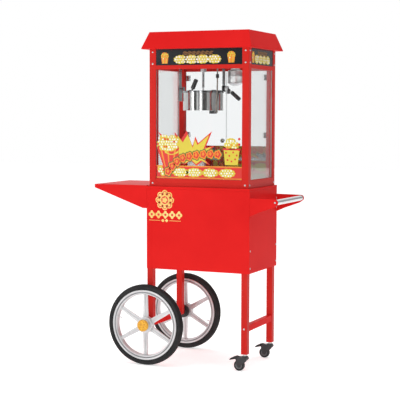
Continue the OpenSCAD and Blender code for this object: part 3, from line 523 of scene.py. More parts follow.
# %% The finish of each material slot
MATERIAL_OF = {
    "red_paint": RED_PAINT, "sign_black": SIGN_BLACK, "clear_glass": GLASS, "clear_acrylic": ACRYLIC,
    "black_plastic": BLACK_PLASTIC, "stainless": POLISHED_STEEL, "zinc_steel": ZINC, "lead_braid": BRAID,
    "lamp_white": LAMP_WHITE, "wheel_silver": WHEEL_SILVER, "hub_gold": HUB_GOLD,
    "tyre_rubber": TYRE_RUBBER, "caster_rubber": CASTER_RUBBER,
}
print("finishes:", len(bpy.data.materials))

# %% [markdown]
# ## Softened copies of the parts
#
# Sheet metal is folded and deburred, so none of its edges is a perfect corner: a thin bright line
# runs along each edge. Each part's mesh is copied, its loose triangles are joined, flat areas
# become single faces, and a small bevel rounds the edges. The copy then stands for its part.

# %% Soften one part
SMOOTH_UNDER = math.radians(34)


def clean_mesh(mesh):
    """Joins loose triangles and merges the ones that lie in one plane."""
    work = bmesh.new()
    work.from_mesh(mesh)
    bmesh.ops.remove_doubles(work, verts=work.verts, dist=0.01 * MM)
    bmesh.ops.dissolve_limit(work, angle_limit=math.radians(0.4), verts=work.verts, edges=work.edges)
    clean = bpy.data.meshes.new(mesh.name)
    work.to_mesh(clean)
    work.free()
    normals = clean.attributes.get("custom_normal")
    if normals:
        clean.attributes.remove(normals)
    return clean


def smooth(mesh):
    """Smooth shading, with creases where faces meet at a real edge."""
    mesh.shade_smooth()
    mesh.set_sharp_from_angle(angle=SMOOTH_UNDER)


def through_modifier(mesh, kind, **settings):
    """The mesh as one modifier leaves it."""
    holder = bpy.data.objects.new("holder", mesh)
    into_scene(holder)
    modifier = holder.modifiers.new(kind, kind)
    for name, value in settings.items():
        setattr(modifier, name, value)
    result = evaluated_mesh(holder)
    bpy.data.objects.remove(holder)
    return result


def bevelled(mesh, width_mm, segments):
    """The mesh with its edges rounded, and with flat faces that stay flat in the light."""
    rounded = through_modifier(mesh, "BEVEL", width=width_mm * MM, segments=segments,
                               limit_method="ANGLE", angle_limit=SMOOTH_UNDER)
    smooth(rounded)
    return through_modifier(rounded, "WEIGHTED_NORMAL", mode="FACE_AREA", weight=50, keep_sharp=True)


def place_piece(name, mesh, body, material):
    """A finished mesh as a piece that moves with its body."""
    piece = bpy.data.objects.new(name, mesh)
    into_scene(piece)
    mesh.materials.clear()
    mesh.materials.append(material)
    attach(piece, body)
    return piece


def body_of(node):
    """The body that a part moves with."""
    return frame["nodes"][node]["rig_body"]


def soften(node, width_mm, segments=2, material=None):
    """A bevelled copy that stands for the part."""
    mesh = bevelled(clean_mesh(frame["nodes"][node].data), width_mm, segments)
    slot = SLOT_OF[node]
    piece = place_piece(node + "_finished", mesh, body_of(node), material or MATERIAL_OF[slot])
    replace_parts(piece, node)
    return piece


# %% The radius of each part's edges in millimetres
EDGE_MM = {
    "roof_canopy": 1.2, "corner_posts": 2.0, "frame_rails": 0.8, "base_tray": 0.5, "deck_plate": 0.3,
    "crumb_drawer": 0.4, "sign_panels": 0.4, "control_panel": 0.4, "power_inlet": 1.0,
    "motor_switch": 0.5, "heat_switch": 0.5, "lamp_switch": 0.5, "front_glass": 0.5, "side_glasses": 0.5,
    "rear_guard": 0.3, "door_hinges": 0.4, "left_door": 0.5, "left_door_fittings": 0.5,
    "right_door": 0.5, "right_door_fittings": 0.5, "ceiling_plate": 0.3, "drive_motor": 1.2,
    "drive_shaft": 0.3, "bearing_bushes": 0.8, "kettle_hangers": 0.5, "kettle_pot": 0.4,
    "kettle_base": 1.0, "kettle_yoke": 0.4, "front_lid": 0.5, "rear_lid": 0.5, "stirrer": 0.4,
    "tilt_lever": 0.8, "counter": 1.5, "cabinet_panels": 0.7, "cabinet_door": 0.6, "legs": 2.2,
    "cross_tubes": 1.6, "wheel_axle": 0.5, "front_wheel": 1.4, "rear_wheel": 1.4,
    "caster_stems": 0.5, "front_caster_fork": 1.0, "rear_caster_fork": 1.0, "front_caster_wheel": 0.6,
    "rear_caster_wheel": 0.6, "side_shelf": 1.2,
    "handle_plates": 0.8, "push_bar": 0.4, "lead_gland": 0.5,
}
print("parts to soften:", len(EDGE_MM))

# %% Soften them all, with another finish than their slot's where the part has one
FINISH_OF = {
    "deck_plate": BRUSHED_STEEL, "ceiling_plate": BRUSHED_STEEL, "crumb_drawer": BRUSHED_STEEL,
    "kettle_hangers": DARK_STEEL, "drive_shaft": DARK_STEEL, "door_hinges": DARK_STEEL,
    "left_door_fittings": BRUSHED_STEEL, "right_door_fittings": DARK_STEEL, "rear_guard": MIRROR_STEEL,
    # The lids and yoke take the darker steel, a painted dark reflection.
    "kettle_pot": KETTLE_STEEL, "front_lid": PAINTED_REFLECTION_STEEL, "rear_lid": PAINTED_REFLECTION_STEEL, "kettle_yoke": PAINTED_REFLECTION_STEEL,
    # Legs, posts, rails and tray take the red paint darkened as painted shade.
    "legs": RED_PAINT_PAINTED_SHADE, "corner_posts": RED_PAINT_PAINTED_SHADE, "frame_rails": RED_PAINT_PAINTED_SHADE, "base_tray": RED_PAINT_PAINTED_SHADE,
}
finished = {node: soften(node, width_mm, material=FINISH_OF.get(node)) for node, width_mm in EDGE_MM.items()}
print("softened parts:", len(finished))


# %% Second finishes: sheet edges, axle caps and kettle bushes
def second_finish(piece, material, is_second):
    """Gives the faces that pass the test the piece's second material."""
    mesh = piece.data
    mesh.materials.append(material)
    for face in mesh.polygons:
        if is_second(face, [mesh.vertices[i].co for i in face.vertices]):
            face.material_index = 1


for node, thin_axis in (("front_glass", 1), ("side_glasses", 0), ("left_door", 1), ("right_door", 1)):
    second_finish(finished[node], SHEET_EDGE, lambda face, _, k=thin_axis: abs(face.normal[k]) < 0.5)
axle_low, axle_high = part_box("wheel_axle")
AXLE_X, AXLE_Z = (axle_low.x + axle_high.x) / 2, (axle_low.z + axle_high.z) / 2
NUT_R = 13.2 * MM
second_finish(finished["wheel_axle"], BLACK_PLASTIC,
              lambda _, corners: max(math.hypot(c.x - AXLE_X, c.z - AXLE_Z) for c in corners) > NUT_R)
BUSH_TOP = KETTLE_RIM + 60 * MM
second_finish(finished["bearing_bushes"], BLACK_PLASTIC, lambda face, _: face.center.z < BUSH_TOP)
print("pieces with two finishes:", sum(len(piece.data.materials) > 1 for piece in finished.values()))

# %% [markdown]
# ## Shapes by spinning and sweeping
#
# Turned parts, such as tyres, caps and grips, are an outline spun round an axis. A lead is a
# circle swept along a path. Both are written once here and used for many pieces below.


# %% Spin and sweep
def spun(outline, steps, ripple=None):
    """A closed mesh spun round +Z from (radius, height) points that end on the axis or come back round.

    ripple(i, angle) scales the radius of outline point i, for flutes."""
    closed = outline[0][0] > 0
    verts = []
    for step in range(steps):
        angle = 2 * math.pi * step / steps
        for i, (radius, height) in enumerate(outline):
            r = radius * (ripple(i, angle) if ripple else 1)
            verts.append((r * math.cos(angle), r * math.sin(angle), height))
    count = len(outline)
    faces = []
    for step in range(steps):
        here, there = step * count, (step + 1) % steps * count
        for i in range(count if closed else count - 1):
            j = (i + 1) % count
            faces.append((here + i, there + i, there + j, here + j))
    mesh = new_mesh("spun", verts, faces)
    work = bmesh.new()
    work.from_mesh(mesh)
    bmesh.ops.remove_doubles(work, verts=work.verts, dist=0.002 * MM)
    bmesh.ops.recalc_face_normals(work, faces=work.faces)
    work.to_mesh(mesh)
    work.free()
    smooth(mesh)
    return mesh


def joined(meshes):
    """Several meshes as one."""
    work = bmesh.new()
    for mesh in meshes:
        work.from_mesh(mesh)
    result = bpy.data.meshes.new("joined")
    work.to_mesh(result)
    work.free()
    return result


def with_far_side(meshes):
    """The meshes, and then their mirror images below z = 0."""
    far = [mesh.copy() for mesh in meshes]
    for mesh in far:
        mesh.transform(Matrix.Diagonal((1, 1, -1, 1)))
        mesh.flip_normals()
    return meshes + far


# %% [markdown]
# ## Repeats with Geometry Nodes
#
# Screws, ribs and popcorn are one small shape many times over. The tree takes points, turns a copy
# of the shape to each point's own direction, varies its size and its turn, and makes the copies
# real. The result is one plain mesh for each body.


# %% The repeat tree
def build_repeat_tree():
    """Points in, one copy of the shape on each, and one plain mesh out."""
    tree = bpy.data.node_groups.new("repeat_on_points", "GeometryNodeTree")
    for name, kind in (("Points", "Geometry"), ("Shape", "Object"), ("Smallest", "Float"), ("Largest", "Float"),
                       ("Turn", "Float"), ("Seed", "Int"), ("Finish", "Material")):
        tree.interface.new_socket(name, in_out="INPUT", socket_type="NodeSocket" + kind)
    tree.interface.new_socket("Mesh", in_out="OUTPUT", socket_type="NodeSocketGeometry")
    new, link = tree.nodes.new, tree.links.new
    inside, outside = new("NodeGroupInput"), new("NodeGroupOutput")
    shape = new("GeometryNodeObjectInfo")
    link(inside.outputs["Shape"], shape.inputs["Object"])
    aim = new("GeometryNodeInputNamedAttribute")
    aim.data_type = "FLOAT_VECTOR"
    aim.inputs["Name"].default_value = "aim"
    align = new("FunctionNodeAlignRotationToVector")
    align.axis = "Z"
    link(aim.outputs["Attribute"], align.inputs["Vector"])
    turn = new("FunctionNodeRandomValue")
    turn.data_type = "FLOAT"
    link(inside.outputs["Turn"], turn.inputs[3])
    link(inside.outputs["Seed"], turn.inputs["Seed"])
    spin = new("FunctionNodeAxisAngleToRotation")
    spin.inputs["Axis"].default_value = (0, 0, 1)
    link(turn.outputs[1], spin.inputs["Angle"])
    both = new("FunctionNodeRotateRotation")
    both.rotation_space = "LOCAL"
    link(align.outputs["Rotation"], both.inputs["Rotation"])
    link(spin.outputs["Rotation"], both.inputs["Rotate By"])
    size = new("FunctionNodeRandomValue")
    size.data_type = "FLOAT"
    link(inside.outputs["Smallest"], size.inputs[2])
    link(inside.outputs["Largest"], size.inputs[3])
    link(inside.outputs["Seed"], size.inputs["Seed"])
    copies = new("GeometryNodeInstanceOnPoints")
    link(inside.outputs["Points"], copies.inputs["Points"])
    link(shape.outputs["Geometry"], copies.inputs["Instance"])
    link(both.outputs["Rotation"], copies.inputs["Rotation"])
    link(size.outputs[1], copies.inputs["Scale"])
    real = new("GeometryNodeRealizeInstances")
    painted = new("GeometryNodeSetMaterial")
    link(copies.outputs["Instances"], real.inputs["Geometry"])
    link(real.outputs["Geometry"], painted.inputs["Geometry"])
    link(inside.outputs["Finish"], painted.inputs["Material"])
    link(painted.outputs["Geometry"], outside.inputs["Mesh"])
    return tree


REPEAT = build_repeat_tree()
print("repeat tree:", len(REPEAT.nodes), "nodes")


def repeat_on(points, shape_mesh, material, sizes=(1.0, 1.0), turn=0.0, seed=1):
    """A plain mesh with a copy of the shape on each (place, direction)."""
    dots = new_mesh("points", [place for place, _ in points], [])
    aims = dots.attributes.new("aim", "FLOAT_VECTOR", "POINT")
    aims.data.foreach_set("vector", [c for _, aim in points for c in aim])
    holder = bpy.data.objects.new("points", dots)
    shape = bpy.data.objects.new("shape", shape_mesh)
    into_scene(holder, shape)
    modifier = holder.modifiers.new("repeat", "NODES")
    modifier.node_group = REPEAT
    values = {"Shape": shape, "Smallest": sizes[0], "Largest": sizes[1], "Turn": turn,
              "Seed": seed, "Finish": material}
    for item in REPEAT.interface.items_tree:
        if item.item_type == "SOCKET" and item.in_out == "INPUT" and item.name in values:
            modifier[item.identifier] = values[item.name]
    bpy.context.view_layer.update()
    result = evaluated_mesh(holder)
    holder.modifiers.remove(modifier)
    for made in (holder, shape):
        bpy.data.objects.remove(made)
    return result


# %% [markdown]
# ## Button-head screws
#
# The sheets are held by button-head screws with a cross recess. The recess is cut into one head,
# and the repeat tree puts that head where each of the frame's screws is, turned differently
# each time, because nobody lines up the slots.

# %% One screw head
SCREW_R, SCREW_H = 4.5 * MM, 2.4 * MM


def screw_head():
    """A domed head with a cross recess."""
    dome = [(0, SCREW_H)]
    for i in range(1, 6):
        angle = math.radians(90 - i * 15)
        dome.append((SCREW_R * math.cos(angle), SCREW_H * (0.25 + 0.75 * math.sin(angle))))
    dome += [(SCREW_R, 0), (0, 0)]
    head = bpy.data.objects.new("head", spun(dome, 20))
    bar = bpy.data.meshes.new("bar")
    work = bmesh.new()
    for across, along in ((5.2, 1.1), (1.1, 5.2)):
        place = moved(0, 0, SCREW_H) @ Matrix.Diagonal((across * MM, along * MM, 2.2 * MM, 1))
        bmesh.ops.create_cube(work, size=1, matrix=place)
    work.to_mesh(bar)
    work.free()
    cutter = bpy.data.objects.new("cutter", bar)
    into_scene(head, cutter)
    cut = head.modifiers.new("cut", "BOOLEAN")
    cut.object = cutter
    cut.solver = "EXACT"
    cut.use_self = True
    result = evaluated_mesh(head)
    for made in (head, cutter):
        bpy.data.objects.remove(made)
    smooth(result)
    return result


# %% Put a head on each screw
def islands(mesh):
    """The (lowest, highest) corners of each separate shell of a mesh, in the same order each run."""
    work = bmesh.new()
    work.from_mesh(mesh)
    bmesh.ops.remove_doubles(work, verts=work.verts, dist=0.01 * MM)
    left = set(work.verts)
    boxes = []
    while left:
        stack = [left.pop()]
        found = list(stack)
        while stack:
            for edge in stack.pop().link_edges:
                for vert in edge.verts:
                    if vert in left:
                        left.remove(vert)
                        stack.append(vert)
                        found.append(vert)
        boxes.append([Vector([pick(v.co[k] for v in found) for k in range(3)]) for pick in (min, max)])
    work.free()
    return sorted(boxes, key=lambda box: (*box[0], *box[1]))


def screw_places():
    """Where each screw's head sits on its sheet, and which way it points."""
    places = []
    for low, high in islands(frame["nodes"]["screws"].data):
        middle, size = (low + high) / 2, high - low
        axis = min(range(3), key=lambda k: size[k])
        centre = CART_X if axis == 0 else 0
        way = 1 if middle[axis] > centre else -1
        aim = Vector([way if k == axis else 0 for k in range(3)])
        top = high[axis] if way > 0 else low[axis]
        middle[axis] = top - way * SCREW_H
        places.append((middle, aim))
    return places


screw_points = screw_places()
screws = place_piece("screw_heads", repeat_on(screw_points, screw_head(), ZINC, turn=3.1, seed=4),
                     "root", ZINC)
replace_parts(screws, "screws")
print("screws:", len(screw_points))

# %% [markdown]
# ## Printed pictures
#
# The signs and the lower window carry a print: a striped tub of popcorn, a bright burst, a row of
# popcorn heaps. The print is a stack of thin films, so each colour is a real sheet a fraction of a
# millimetre proud of the one under it. The popcorn is many small lobed pieces, scattered by the
# repeat tree from a fixed seed. There is no lettering on it.

# %% Inks
CREAM = finish("ink_cream", (0.84, 0.84, 0.58), (0.90, 0.90, 0.76), (0.25, 0.4), relief=0.04, patch=90.0)
PALE = finish("ink_pale", (0.88, 0.84, 0.84), (0.93, 0.92, 0.90), (0.25, 0.4), relief=0.04, patch=90.0)
YELLOW = finish("ink_yellow", (0.74, 0.61, 0.055), (0.68, 0.55, 0.045), (0.22, 0.35), relief=0.04)
AMBER = finish("ink_amber", (0.86, 0.30, 0.025), (0.78, 0.22, 0.02), (0.22, 0.35), relief=0.04)
RED_INK = finish("ink_red", (0.74, 0.035, 0.02), (0.66, 0.025, 0.02), (0.22, 0.35), relief=0.04)
GREEN = finish("ink_green", (0.085, 0.16, 0.03), (0.07, 0.13, 0.03), (0.22, 0.35), relief=0.04)
BRONZE = finish("ink_bronze", (0.22, 0.10, 0.012), (0.15, 0.07, 0.01), (0.3, 0.45), relief=0.04)
GOLD_INK = finish("ink_gold", (0.90, 0.68, 0.22), (0.84, 0.52, 0.10), (0.25, 0.38), relief=0.04, patch=14.0)
INKS = {"gold": GOLD_INK, "bronze": BRONZE, "cream": CREAM, "pale": PALE, "yellow": YELLOW, "amber": AMBER,
        "red": RED_INK, "green": GREEN}
FILM = 0.12 * MM
ROW_STEP = 0.87     # rows of a close packing, as a share of the pitch
HEAP_EDGE = 0.86    # popcorn stops a little inside the cloud
print("inks:", list(INKS))


# %% A film of ink
class Print:
    """Films of ink on one flat panel, drawn in millimetres across and up."""

    def __init__(self, name, place, aim):
        self.name = name
        self.place = place
        self.aim = Vector(aim)
        self.films = {ink: [] for ink in INKS}
        self.popcorn = {ink: [] for ink in INKS}

    def film(self, ink, outline, layer):
        """A closed outline in one ink, on its layer of the stack."""
        self.films[ink].append((outline, FILM * (layer + 1)))

    def box(self, ink, left, right, low, high, layer):
        """A rectangle of ink."""
        self.film(ink, [(left, low), (right, low), (right, high), (left, high)], layer)

    def disc(self, ink, across, up, radius, layer, steps=18):
        """A round dot of ink."""
        turn = 2 * math.pi / steps
        self.film(ink, [(across + radius * math.cos(turn * k), up + radius * math.sin(turn * k))
                        for k in range(steps)], layer)

    def heap(self, across, up, half_w, half_h, inks, seed, layer=2, pitch=13.4):
        """A yellow cloud with popcorn set out over it, close together and a little out of line."""
        self.film("yellow", cloud(across, up, half_w * 1.04, half_h * 1.06), layer - 1)
        chance = random.Random(seed)
        rows = int(half_h / (pitch * ROW_STEP)) + 1
        columns = int(half_w / pitch) + 1
        for row in range(-rows, rows + 1):
            for column in range(-columns, columns + 1):
                x = (column + 0.5 * (row % 2)) * pitch + chance.uniform(-1.4, 1.4)
                y = row * pitch * ROW_STEP + chance.uniform(-1.2, 1.2)
                if (x / half_w) ** 2 + (y / half_h) ** 2 < HEAP_EDGE:
                    self.popcorn[chance.choice(inks)].append(((across + x, up + y), layer))

    def make(self, body, size_mm):
        """One mesh with a material slot for each ink."""
        work = bmesh.new()
        for index, ink in enumerate(INKS):
            for outline, lift in self.films[ink]:
                self.add_film(work, outline, lift, index)
        mesh = bpy.data.meshes.new(self.name)
        work.to_mesh(mesh)
        work.free()
        for material in INKS.values():
            mesh.materials.append(material)
        meshes = [mesh]
        for index, ink in enumerate(INKS):
            spots = self.popcorn[ink]
            if not spots:
                continue
            points = [(self.place(*spot) + self.aim * FILM * (layer + 0.6 * index), self.aim)
                      for spot, layer in spots]
            heap = repeat_on(points, popped_corn(), INKS[ink], (size_mm * 0.8 * MM, size_mm * 1.15 * MM),
                             turn=6.28, seed=index + 5)
            meshes.append(heap)
        return self.as_piece(meshes, body)

    def add_film(self, work, outline, lift, index):
        """One closed slab of ink, as deep in the panel as it is proud of it."""
        under = [work.verts.new(self.place(*p) - self.aim * lift) for p in outline]
        over = [work.verts.new(self.place(*p) + self.aim * lift) for p in outline]
        sides = [(under[i], under[(i + 1) % len(outline)], over[(i + 1) % len(outline)], over[i])
                 for i in range(len(outline))]
        made = [work.faces.new(f) for f in [over, under[::-1], *sides]]
        bmesh.ops.recalc_face_normals(work, faces=made)
        for f in made:
            f.material_index = index

    def as_piece(self, meshes, body):
        """The films and the popcorn as one piece."""
        objects = [bpy.data.objects.new(self.name, mesh) for mesh in meshes]
        into_scene(*objects)
        with bpy.context.temp_override(active_object=objects[0], selected_editable_objects=objects):
            if len(objects) > 1:
                bpy.ops.object.join()
        piece = objects[0]
        piece.name = self.name
        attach(piece, body)
        return piece


def popped_corn():
    """One piece of popcorn as print shows it: a flat puff with five lobes, one unit across."""
    steps = 15
    verts = [(0, 0, 0.045)]
    for reach, height in ((0.62, 0.036), (0.86, 0.02), (1.0, 0.0), (0.86, -0.02), (0.62, -0.036)):
        for k in range(steps):
            angle = 2 * math.pi * k / steps
            r = 0.5 * reach * (0.82 + 0.18 * math.cos(5 * angle))
            verts.append((r * math.cos(angle), r * math.sin(angle), height))
    verts.append((0, 0, -0.045))
    last = len(verts) - 1
    faces = [(0, 1 + k, 1 + (k + 1) % steps) for k in range(steps)]
    for ring in range(4):
        a, b = 1 + ring * steps, 1 + (ring + 1) * steps
        faces += [(a + k, b + k, b + (k + 1) % steps, a + (k + 1) % steps) for k in range(steps)]
    faces += [(last, 1 + 4 * steps + (k + 1) % steps, 1 + 4 * steps + k) for k in range(steps)]
    mesh = new_mesh("popped_corn", verts, faces)
    mesh.shade_smooth()
    return mesh


def cloud(across, up, half_w, half_h, bumps=11, depth=0.13):
    """The scalloped outline of a heap of popcorn."""
    steps = bumps * 8
    outline = []
    for k in range(steps):
        angle = 2 * math.pi * k / steps
        r = 1 - depth + depth * abs(math.cos(bumps * angle / 2))
        outline.append((across + half_w * r * math.cos(angle), up + half_h * r * math.sin(angle)))
    return outline


print("one piece of popcorn:", len(popped_corn().polygons), "faces")


# %% The window's print
GLASS_FRONT = glass_low.y
GLASS_HALF_MM = (glass_high.x - glass_low.x) / 2 / MM
BAND_LOW_MM, BAND_HIGH_MM = 895.5, 953


def on_window(across, up):
    """A point on the front of the window, across from the cart's middle and up from the floor."""
    return Vector((CART_X + across * MM, GLASS_FRONT, up * MM))


window = Print("window_print", on_window, (0, -1, 0))
HALF = GLASS_HALF_MM - 0.8
window.box("red", -HALF, HALF, BAND_LOW_MM, BAND_HIGH_MM, 0)
for low_mm in (BAND_LOW_MM + 1.5, BAND_HIGH_MM - 1.0):
    window.box("amber", -HALF, HALF, low_mm, low_mm + 6, 1)
BURST = [
    (-116, 985), (-124, 1116), (-93, 1078), (-62, 1124), (-31, 1049), (-17, 1097), (-2, 1065),
    (69, 1122), (35, 1043), (84, 1055), (47, 1024), (30, 990), (60, 962), (20, 980), (-10, 958),
    (-40, 982), (-75, 962),
]
BURST_X, BURST_Z, BURST_INNER = -25, 1010, 0.84
window.film("red", BURST, 1)
window.film("yellow", [(BURST_X + (x - BURST_X) * BURST_INNER, BURST_Z + (z - BURST_Z) * BURST_INNER)
                       for x, z in BURST], 2)
window.film("red", [(-212, 1117), (-165, 1084), (-186, 1074)], 1)
print("burst:", len(BURST), "corners")


# %% The tub of popcorn
def draw_tub(panel, corners, stripes, main, other, layer):
    """A tub as a four-sided shape with upright stripes, from its top left corner clockwise."""
    top_left, top_right, low_right, low_left = [Vector(c) for c in corners]
    panel.film(main, [tuple(c) for c in (top_left, top_right, low_right, low_left)], layer)
    for k in range(stripes):
        a, b = (2 * k + 0.75) / (2 * stripes), (2 * k + 1.25) / (2 * stripes)
        quad = [top_left.lerp(top_right, a), top_left.lerp(top_right, b),
                low_left.lerp(low_right, b), low_left.lerp(low_right, a)]
        panel.film(other, [tuple(c) for c in quad], layer + 1)


draw_tub(window, [(-218, 1043), (-100, 1043), (-128, 938), (-178, 938)], 3, "red", "amber", 3)
BITE = [(-176 + 5 * k, 1018 - 10 * math.sin(math.pi * k / 14)) for k in range(15)]
SMILE = BITE + [(x, z + 10 - 6 * math.sin(math.pi * k / 14)) for k, (x, z) in reversed(list(enumerate(BITE)))]
window.film("yellow", SMILE, 5)
window.heap(-180, 1086, 28, 17, ["cream", "pale", "amber"], 4, 6)
window.heap(-136, 1082, 32, 19, ["pale", "cream", "amber"], 5, 9)
window.heap(-160, 1058, 58, 34, ["cream", "pale", "cream", "pale", "red"], 3, 12)
window.heap(-200, 940, 14, 15, ["cream", "pale"], 6, 3)
window.heap(-186, 918, 13, 12, ["cream", "pale"], 7, 3)
for k, across in enumerate((-94, -22, 60, 145)):
    window.heap(across, 926, 42, 21, ["cream", "pale", "cream"], 20 + k, 3)
print("popcorn so far:", sum(len(spots) for spots in window.popcorn.values()))

# %% The row of kernels, in place of any lettering
GARLAND = [(-158, 928), (-137, 953), (-112, 975), (-82, 993), (-48, 1002), (-12, 1008), (25, 1012),
           (62, 1014), (99, 1013)]
for across, up in GARLAND:
    window.film("green", cloud(across, up, 24, 27, 5, 0.2), 6)
for across, up in GARLAND:
    window.film("amber", cloud(across, up, 20, 23, 5, 0.22), 7)
    window.film("red", cloud(across, up, 14, 16, 5, 0.25), 8)
    window.film("amber", cloud(across - 1, up + 2, 7, 9, 4, 0.25), 9)
print("kernels in the row:", len(GARLAND))

# %% The spotted tub on the right
draw_tub(window, [(128, 1036), (208, 1036), (199, 965), (135, 965)], 1, "yellow", "yellow", 3)
for across, up in ((140, 1022), (157, 1008), (176, 1024), (194, 1010), (148, 988), (168, 982), (186, 992)):
    window.disc("red", across, up, 4.6, 5)
window.box("red", 124, 212, 1034, 1042, 5)
window.heap(168, 1058, 38, 20, ["cream", "amber", "cream"], 31, 6)
window.heap(164, 1078, 24, 12, ["cream", "pale"], 32, 9)
for up in (1037, 1061, 1086):
    window.disc("red", 206, up, 6, 6)
window_print = window.make("root", 11.5)
print("window print:", len(window_print.data.polygons), "faces")

# %% [markdown]
# ### The signs
#
# The same print runs round three sides of the head: popcorn heaps in the middle and a small tub
# at the ends. One function draws it, and the width of the panel decides how much of it fits.

# %% Draw the signs
SIGN_LOW_MM = signs_low.z / MM
SPARKS = 22


def draw_sign(panel, heaps, tubs, spread):
    """Popcorn heaps in a row with dull gold sparks above, and tubs at the given places."""
    first, last = heaps[0] + 12, heaps[-1] - 12
    for row in range(2):
        for k in range(SPARKS):
            across = first + (last - first) * (k + 0.5 * row) / (SPARKS - 1)
            lift = 50 + 9 * row + 2 * math.sin(k * 1.9)
            panel.disc("bronze", across, SIGN_LOW_MM + lift, 3.0 + (k % 3) * 0.8, 1, 10)
    for k, across in enumerate(heaps):
        panel.heap(across, SIGN_LOW_MM + 26, spread, 20, ["pale", "pale", "cream"], 50 + k, 3)
    for across in tubs:
        foot, rim = SIGN_LOW_MM + 8, SIGN_LOW_MM + 34
        width = spread * 0.52
        panel.heap(across, rim + 9, width * 1.1, 17, ["amber", "cream", "amber"], 70, 2)
        draw_tub(panel, [(across - width, rim + 2), (across + width, rim + 2), (across + width * 0.8, foot),
                         (across - width * 0.8, foot)], 2, "amber", "yellow", 4)


SIGNS = (
    ("front_sign_print", lambda u, v: Vector((CART_X + u * MM, signs_low.y, v * MM)), (0, -1, 0),
     (-93, -37, 19, 80), (-175, 166), 35),
    ("right_sign_print", lambda u, v: Vector((signs_high.x, u * MM, v * MM)), (1, 0, 0),
     (-70, -22, 26, 74), (-117,), 27),
    ("left_sign_print", lambda u, v: Vector((signs_low.x, -u * MM, v * MM)), (-1, 0, 0),
     (-74, -26, 22, 70), (117,), 27),
)
for name, place, aim, heaps, tubs, spread in SIGNS:
    sign = Print(name, place, aim)
    draw_sign(sign, heaps, tubs, spread)
    sign.make("root", 11.0)
print("signs drawn:", len(SIGNS))

# %% [markdown]
# ### The cabinet's ornament
#
# The front of the cabinet carries a plain gold ornament as thin films: a bloom with eight petals,
# a band of five diamonds under it, and a fine line with two dots.

# %% Ornament
BLOOM_X, BLOOM_Z, PETALS, PETAL_REACH = -169, 792, 8, 33
badge = Print("cabinet_ornament", lambda u, v: Vector((CART_X + u * MM, CABINET_FRONT, v * MM)), (0, -1, 0))
for petal in range(PETALS):
    angle = 2 * math.pi * petal / PETALS
    across, up = BLOOM_X + PETAL_REACH * math.cos(angle), BLOOM_Z + PETAL_REACH * math.sin(angle)
    for layer, (ink, radius) in enumerate((("gold", 15.5), ("red", 10.5), ("gold", 7))):
        badge.disc(ink, across, up, radius, layer)
badge.disc("gold", BLOOM_X, BLOOM_Z, 26, 3, 36)
badge.disc("red", BLOOM_X, BLOOM_Z, 18.5, 4, 36)
badge.film("gold", cloud(BLOOM_X, BLOOM_Z, 14, 14, 5, 0.3), 5)
for k in range(5):
    across = BLOOM_X + 3 + 36 * (k - 2)
    badge.film("gold", cloud(across, BLOOM_Z - 70, 17, 19, 4, 0.34), 0)
    badge.disc("red", across, BLOOM_Z - 70, 6, 1)
for start in (-84, 24):
    badge.box("gold", BLOOM_X + start, BLOOM_X + start + 60, BLOOM_Z - 99, BLOOM_Z - 97, 0)
for across in (BLOOM_X - 10, BLOOM_X + 10):
    badge.film("gold", cloud(across, BLOOM_Z - 98, 8, 7, 4, 0.2), 0)
badge.make("root", 8.0)
print("petals:", PETALS)

# %% [markdown]
# ## Big wheels
#
# The tyre is a solid rubber ring with three grooves and rows of small lugs on its shoulders.
# The wheel is cast, with six flat spokes, each with a rib. A valve sits in the rim, and an
# embossed gold cap covers the axle nut.


# %% Where a wheel is, with its axle along +Z and its outer side up
def wheel_place(side):
    """The wheel's placing, its radius and half its width."""
    low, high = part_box(side + "_tyre")
    turn = about("X", 90 if side == "front" else -90)
    return Matrix.Translation((low + high) / 2) @ turn, (high.z - low.z) / 2, (high.y - low.y) / 2


print("wheel radius:", round(wheel_place("front")[1], 4))


# %% Tyre
TYRE_MM = 26
HUB_MM = 40
SPOKES = 6


def tyre_outline(radius, half):
    """The tyre's section: rounded shoulders, and grooves round the tread."""

    def shoulder(side, first_angle):
        """Seven points round one shoulder."""
        turns = [math.radians(first_angle + 80 * k / 6) for k in range(7)]
        return [(radius - 10 * MM + 9 * MM * math.cos(angle), side * (half - 9 * MM) + 9 * MM * math.sin(angle))
                for angle in turns]

    bead = radius - TYRE_MM * MM
    points = [(bead, -half + 4 * MM)] + shoulder(-1, -115)
    tread = half - 11 * MM
    for middle in (-0.62, 0.0, 0.62):
        z = middle * tread
        crown = radius - (z / half) ** 2 * 1.2 * MM
        points += [(crown, z - 1.6 * MM), (crown - 1.8 * MM, z - 0.8 * MM), (crown - 1.8 * MM, z + 0.8 * MM),
                   (crown, z + 1.6 * MM)]
    return points + shoulder(1, 35) + [(bead, half - 4 * MM)]


def rounded_bar(size, round_mm):
    """A small bar with rounded edges, standing on its base."""
    work = bmesh.new()
    bmesh.ops.create_cube(work, size=1, matrix=Matrix.Diagonal((*size, 1)))
    bmesh.ops.bevel(work, geom=work.edges[:], offset=round_mm * MM, segments=1, affect="EDGES")
    mesh = bpy.data.meshes.new("bar")
    work.to_mesh(mesh)
    work.free()
    return mesh


LUGS = 90


def make_tyre(side):
    """The rubber ring with its lugs."""
    place, radius, half = wheel_place(side)
    ring = spun(tyre_outline(radius, half), 160)
    spots = []
    for shoulder in (-1, 1):
        for k in range(LUGS):
            angle = 2 * math.pi * (k + 0.25 * shoulder) / LUGS
            out = Vector((math.cos(angle), math.sin(angle), 0))
            lean = (out + Vector((0, 0, shoulder * 0.95))).normalized()
            spots.append((out * (radius - 4.6 * MM) + Vector((0, 0, shoulder * (half - 4.4 * MM))), lean))
    lugs = repeat_on(spots, rounded_bar((4.0 * MM, 4.6 * MM, 1.6 * MM), 0.4), TYRE_RUBBER)
    mesh = joined([ring, lugs])
    mesh.transform(place)
    smooth(mesh)
    piece = place_piece(side + "_tyre_finished", mesh, body_of(side + "_tyre"), TYRE_RUBBER)
    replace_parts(piece, side + "_tyre")


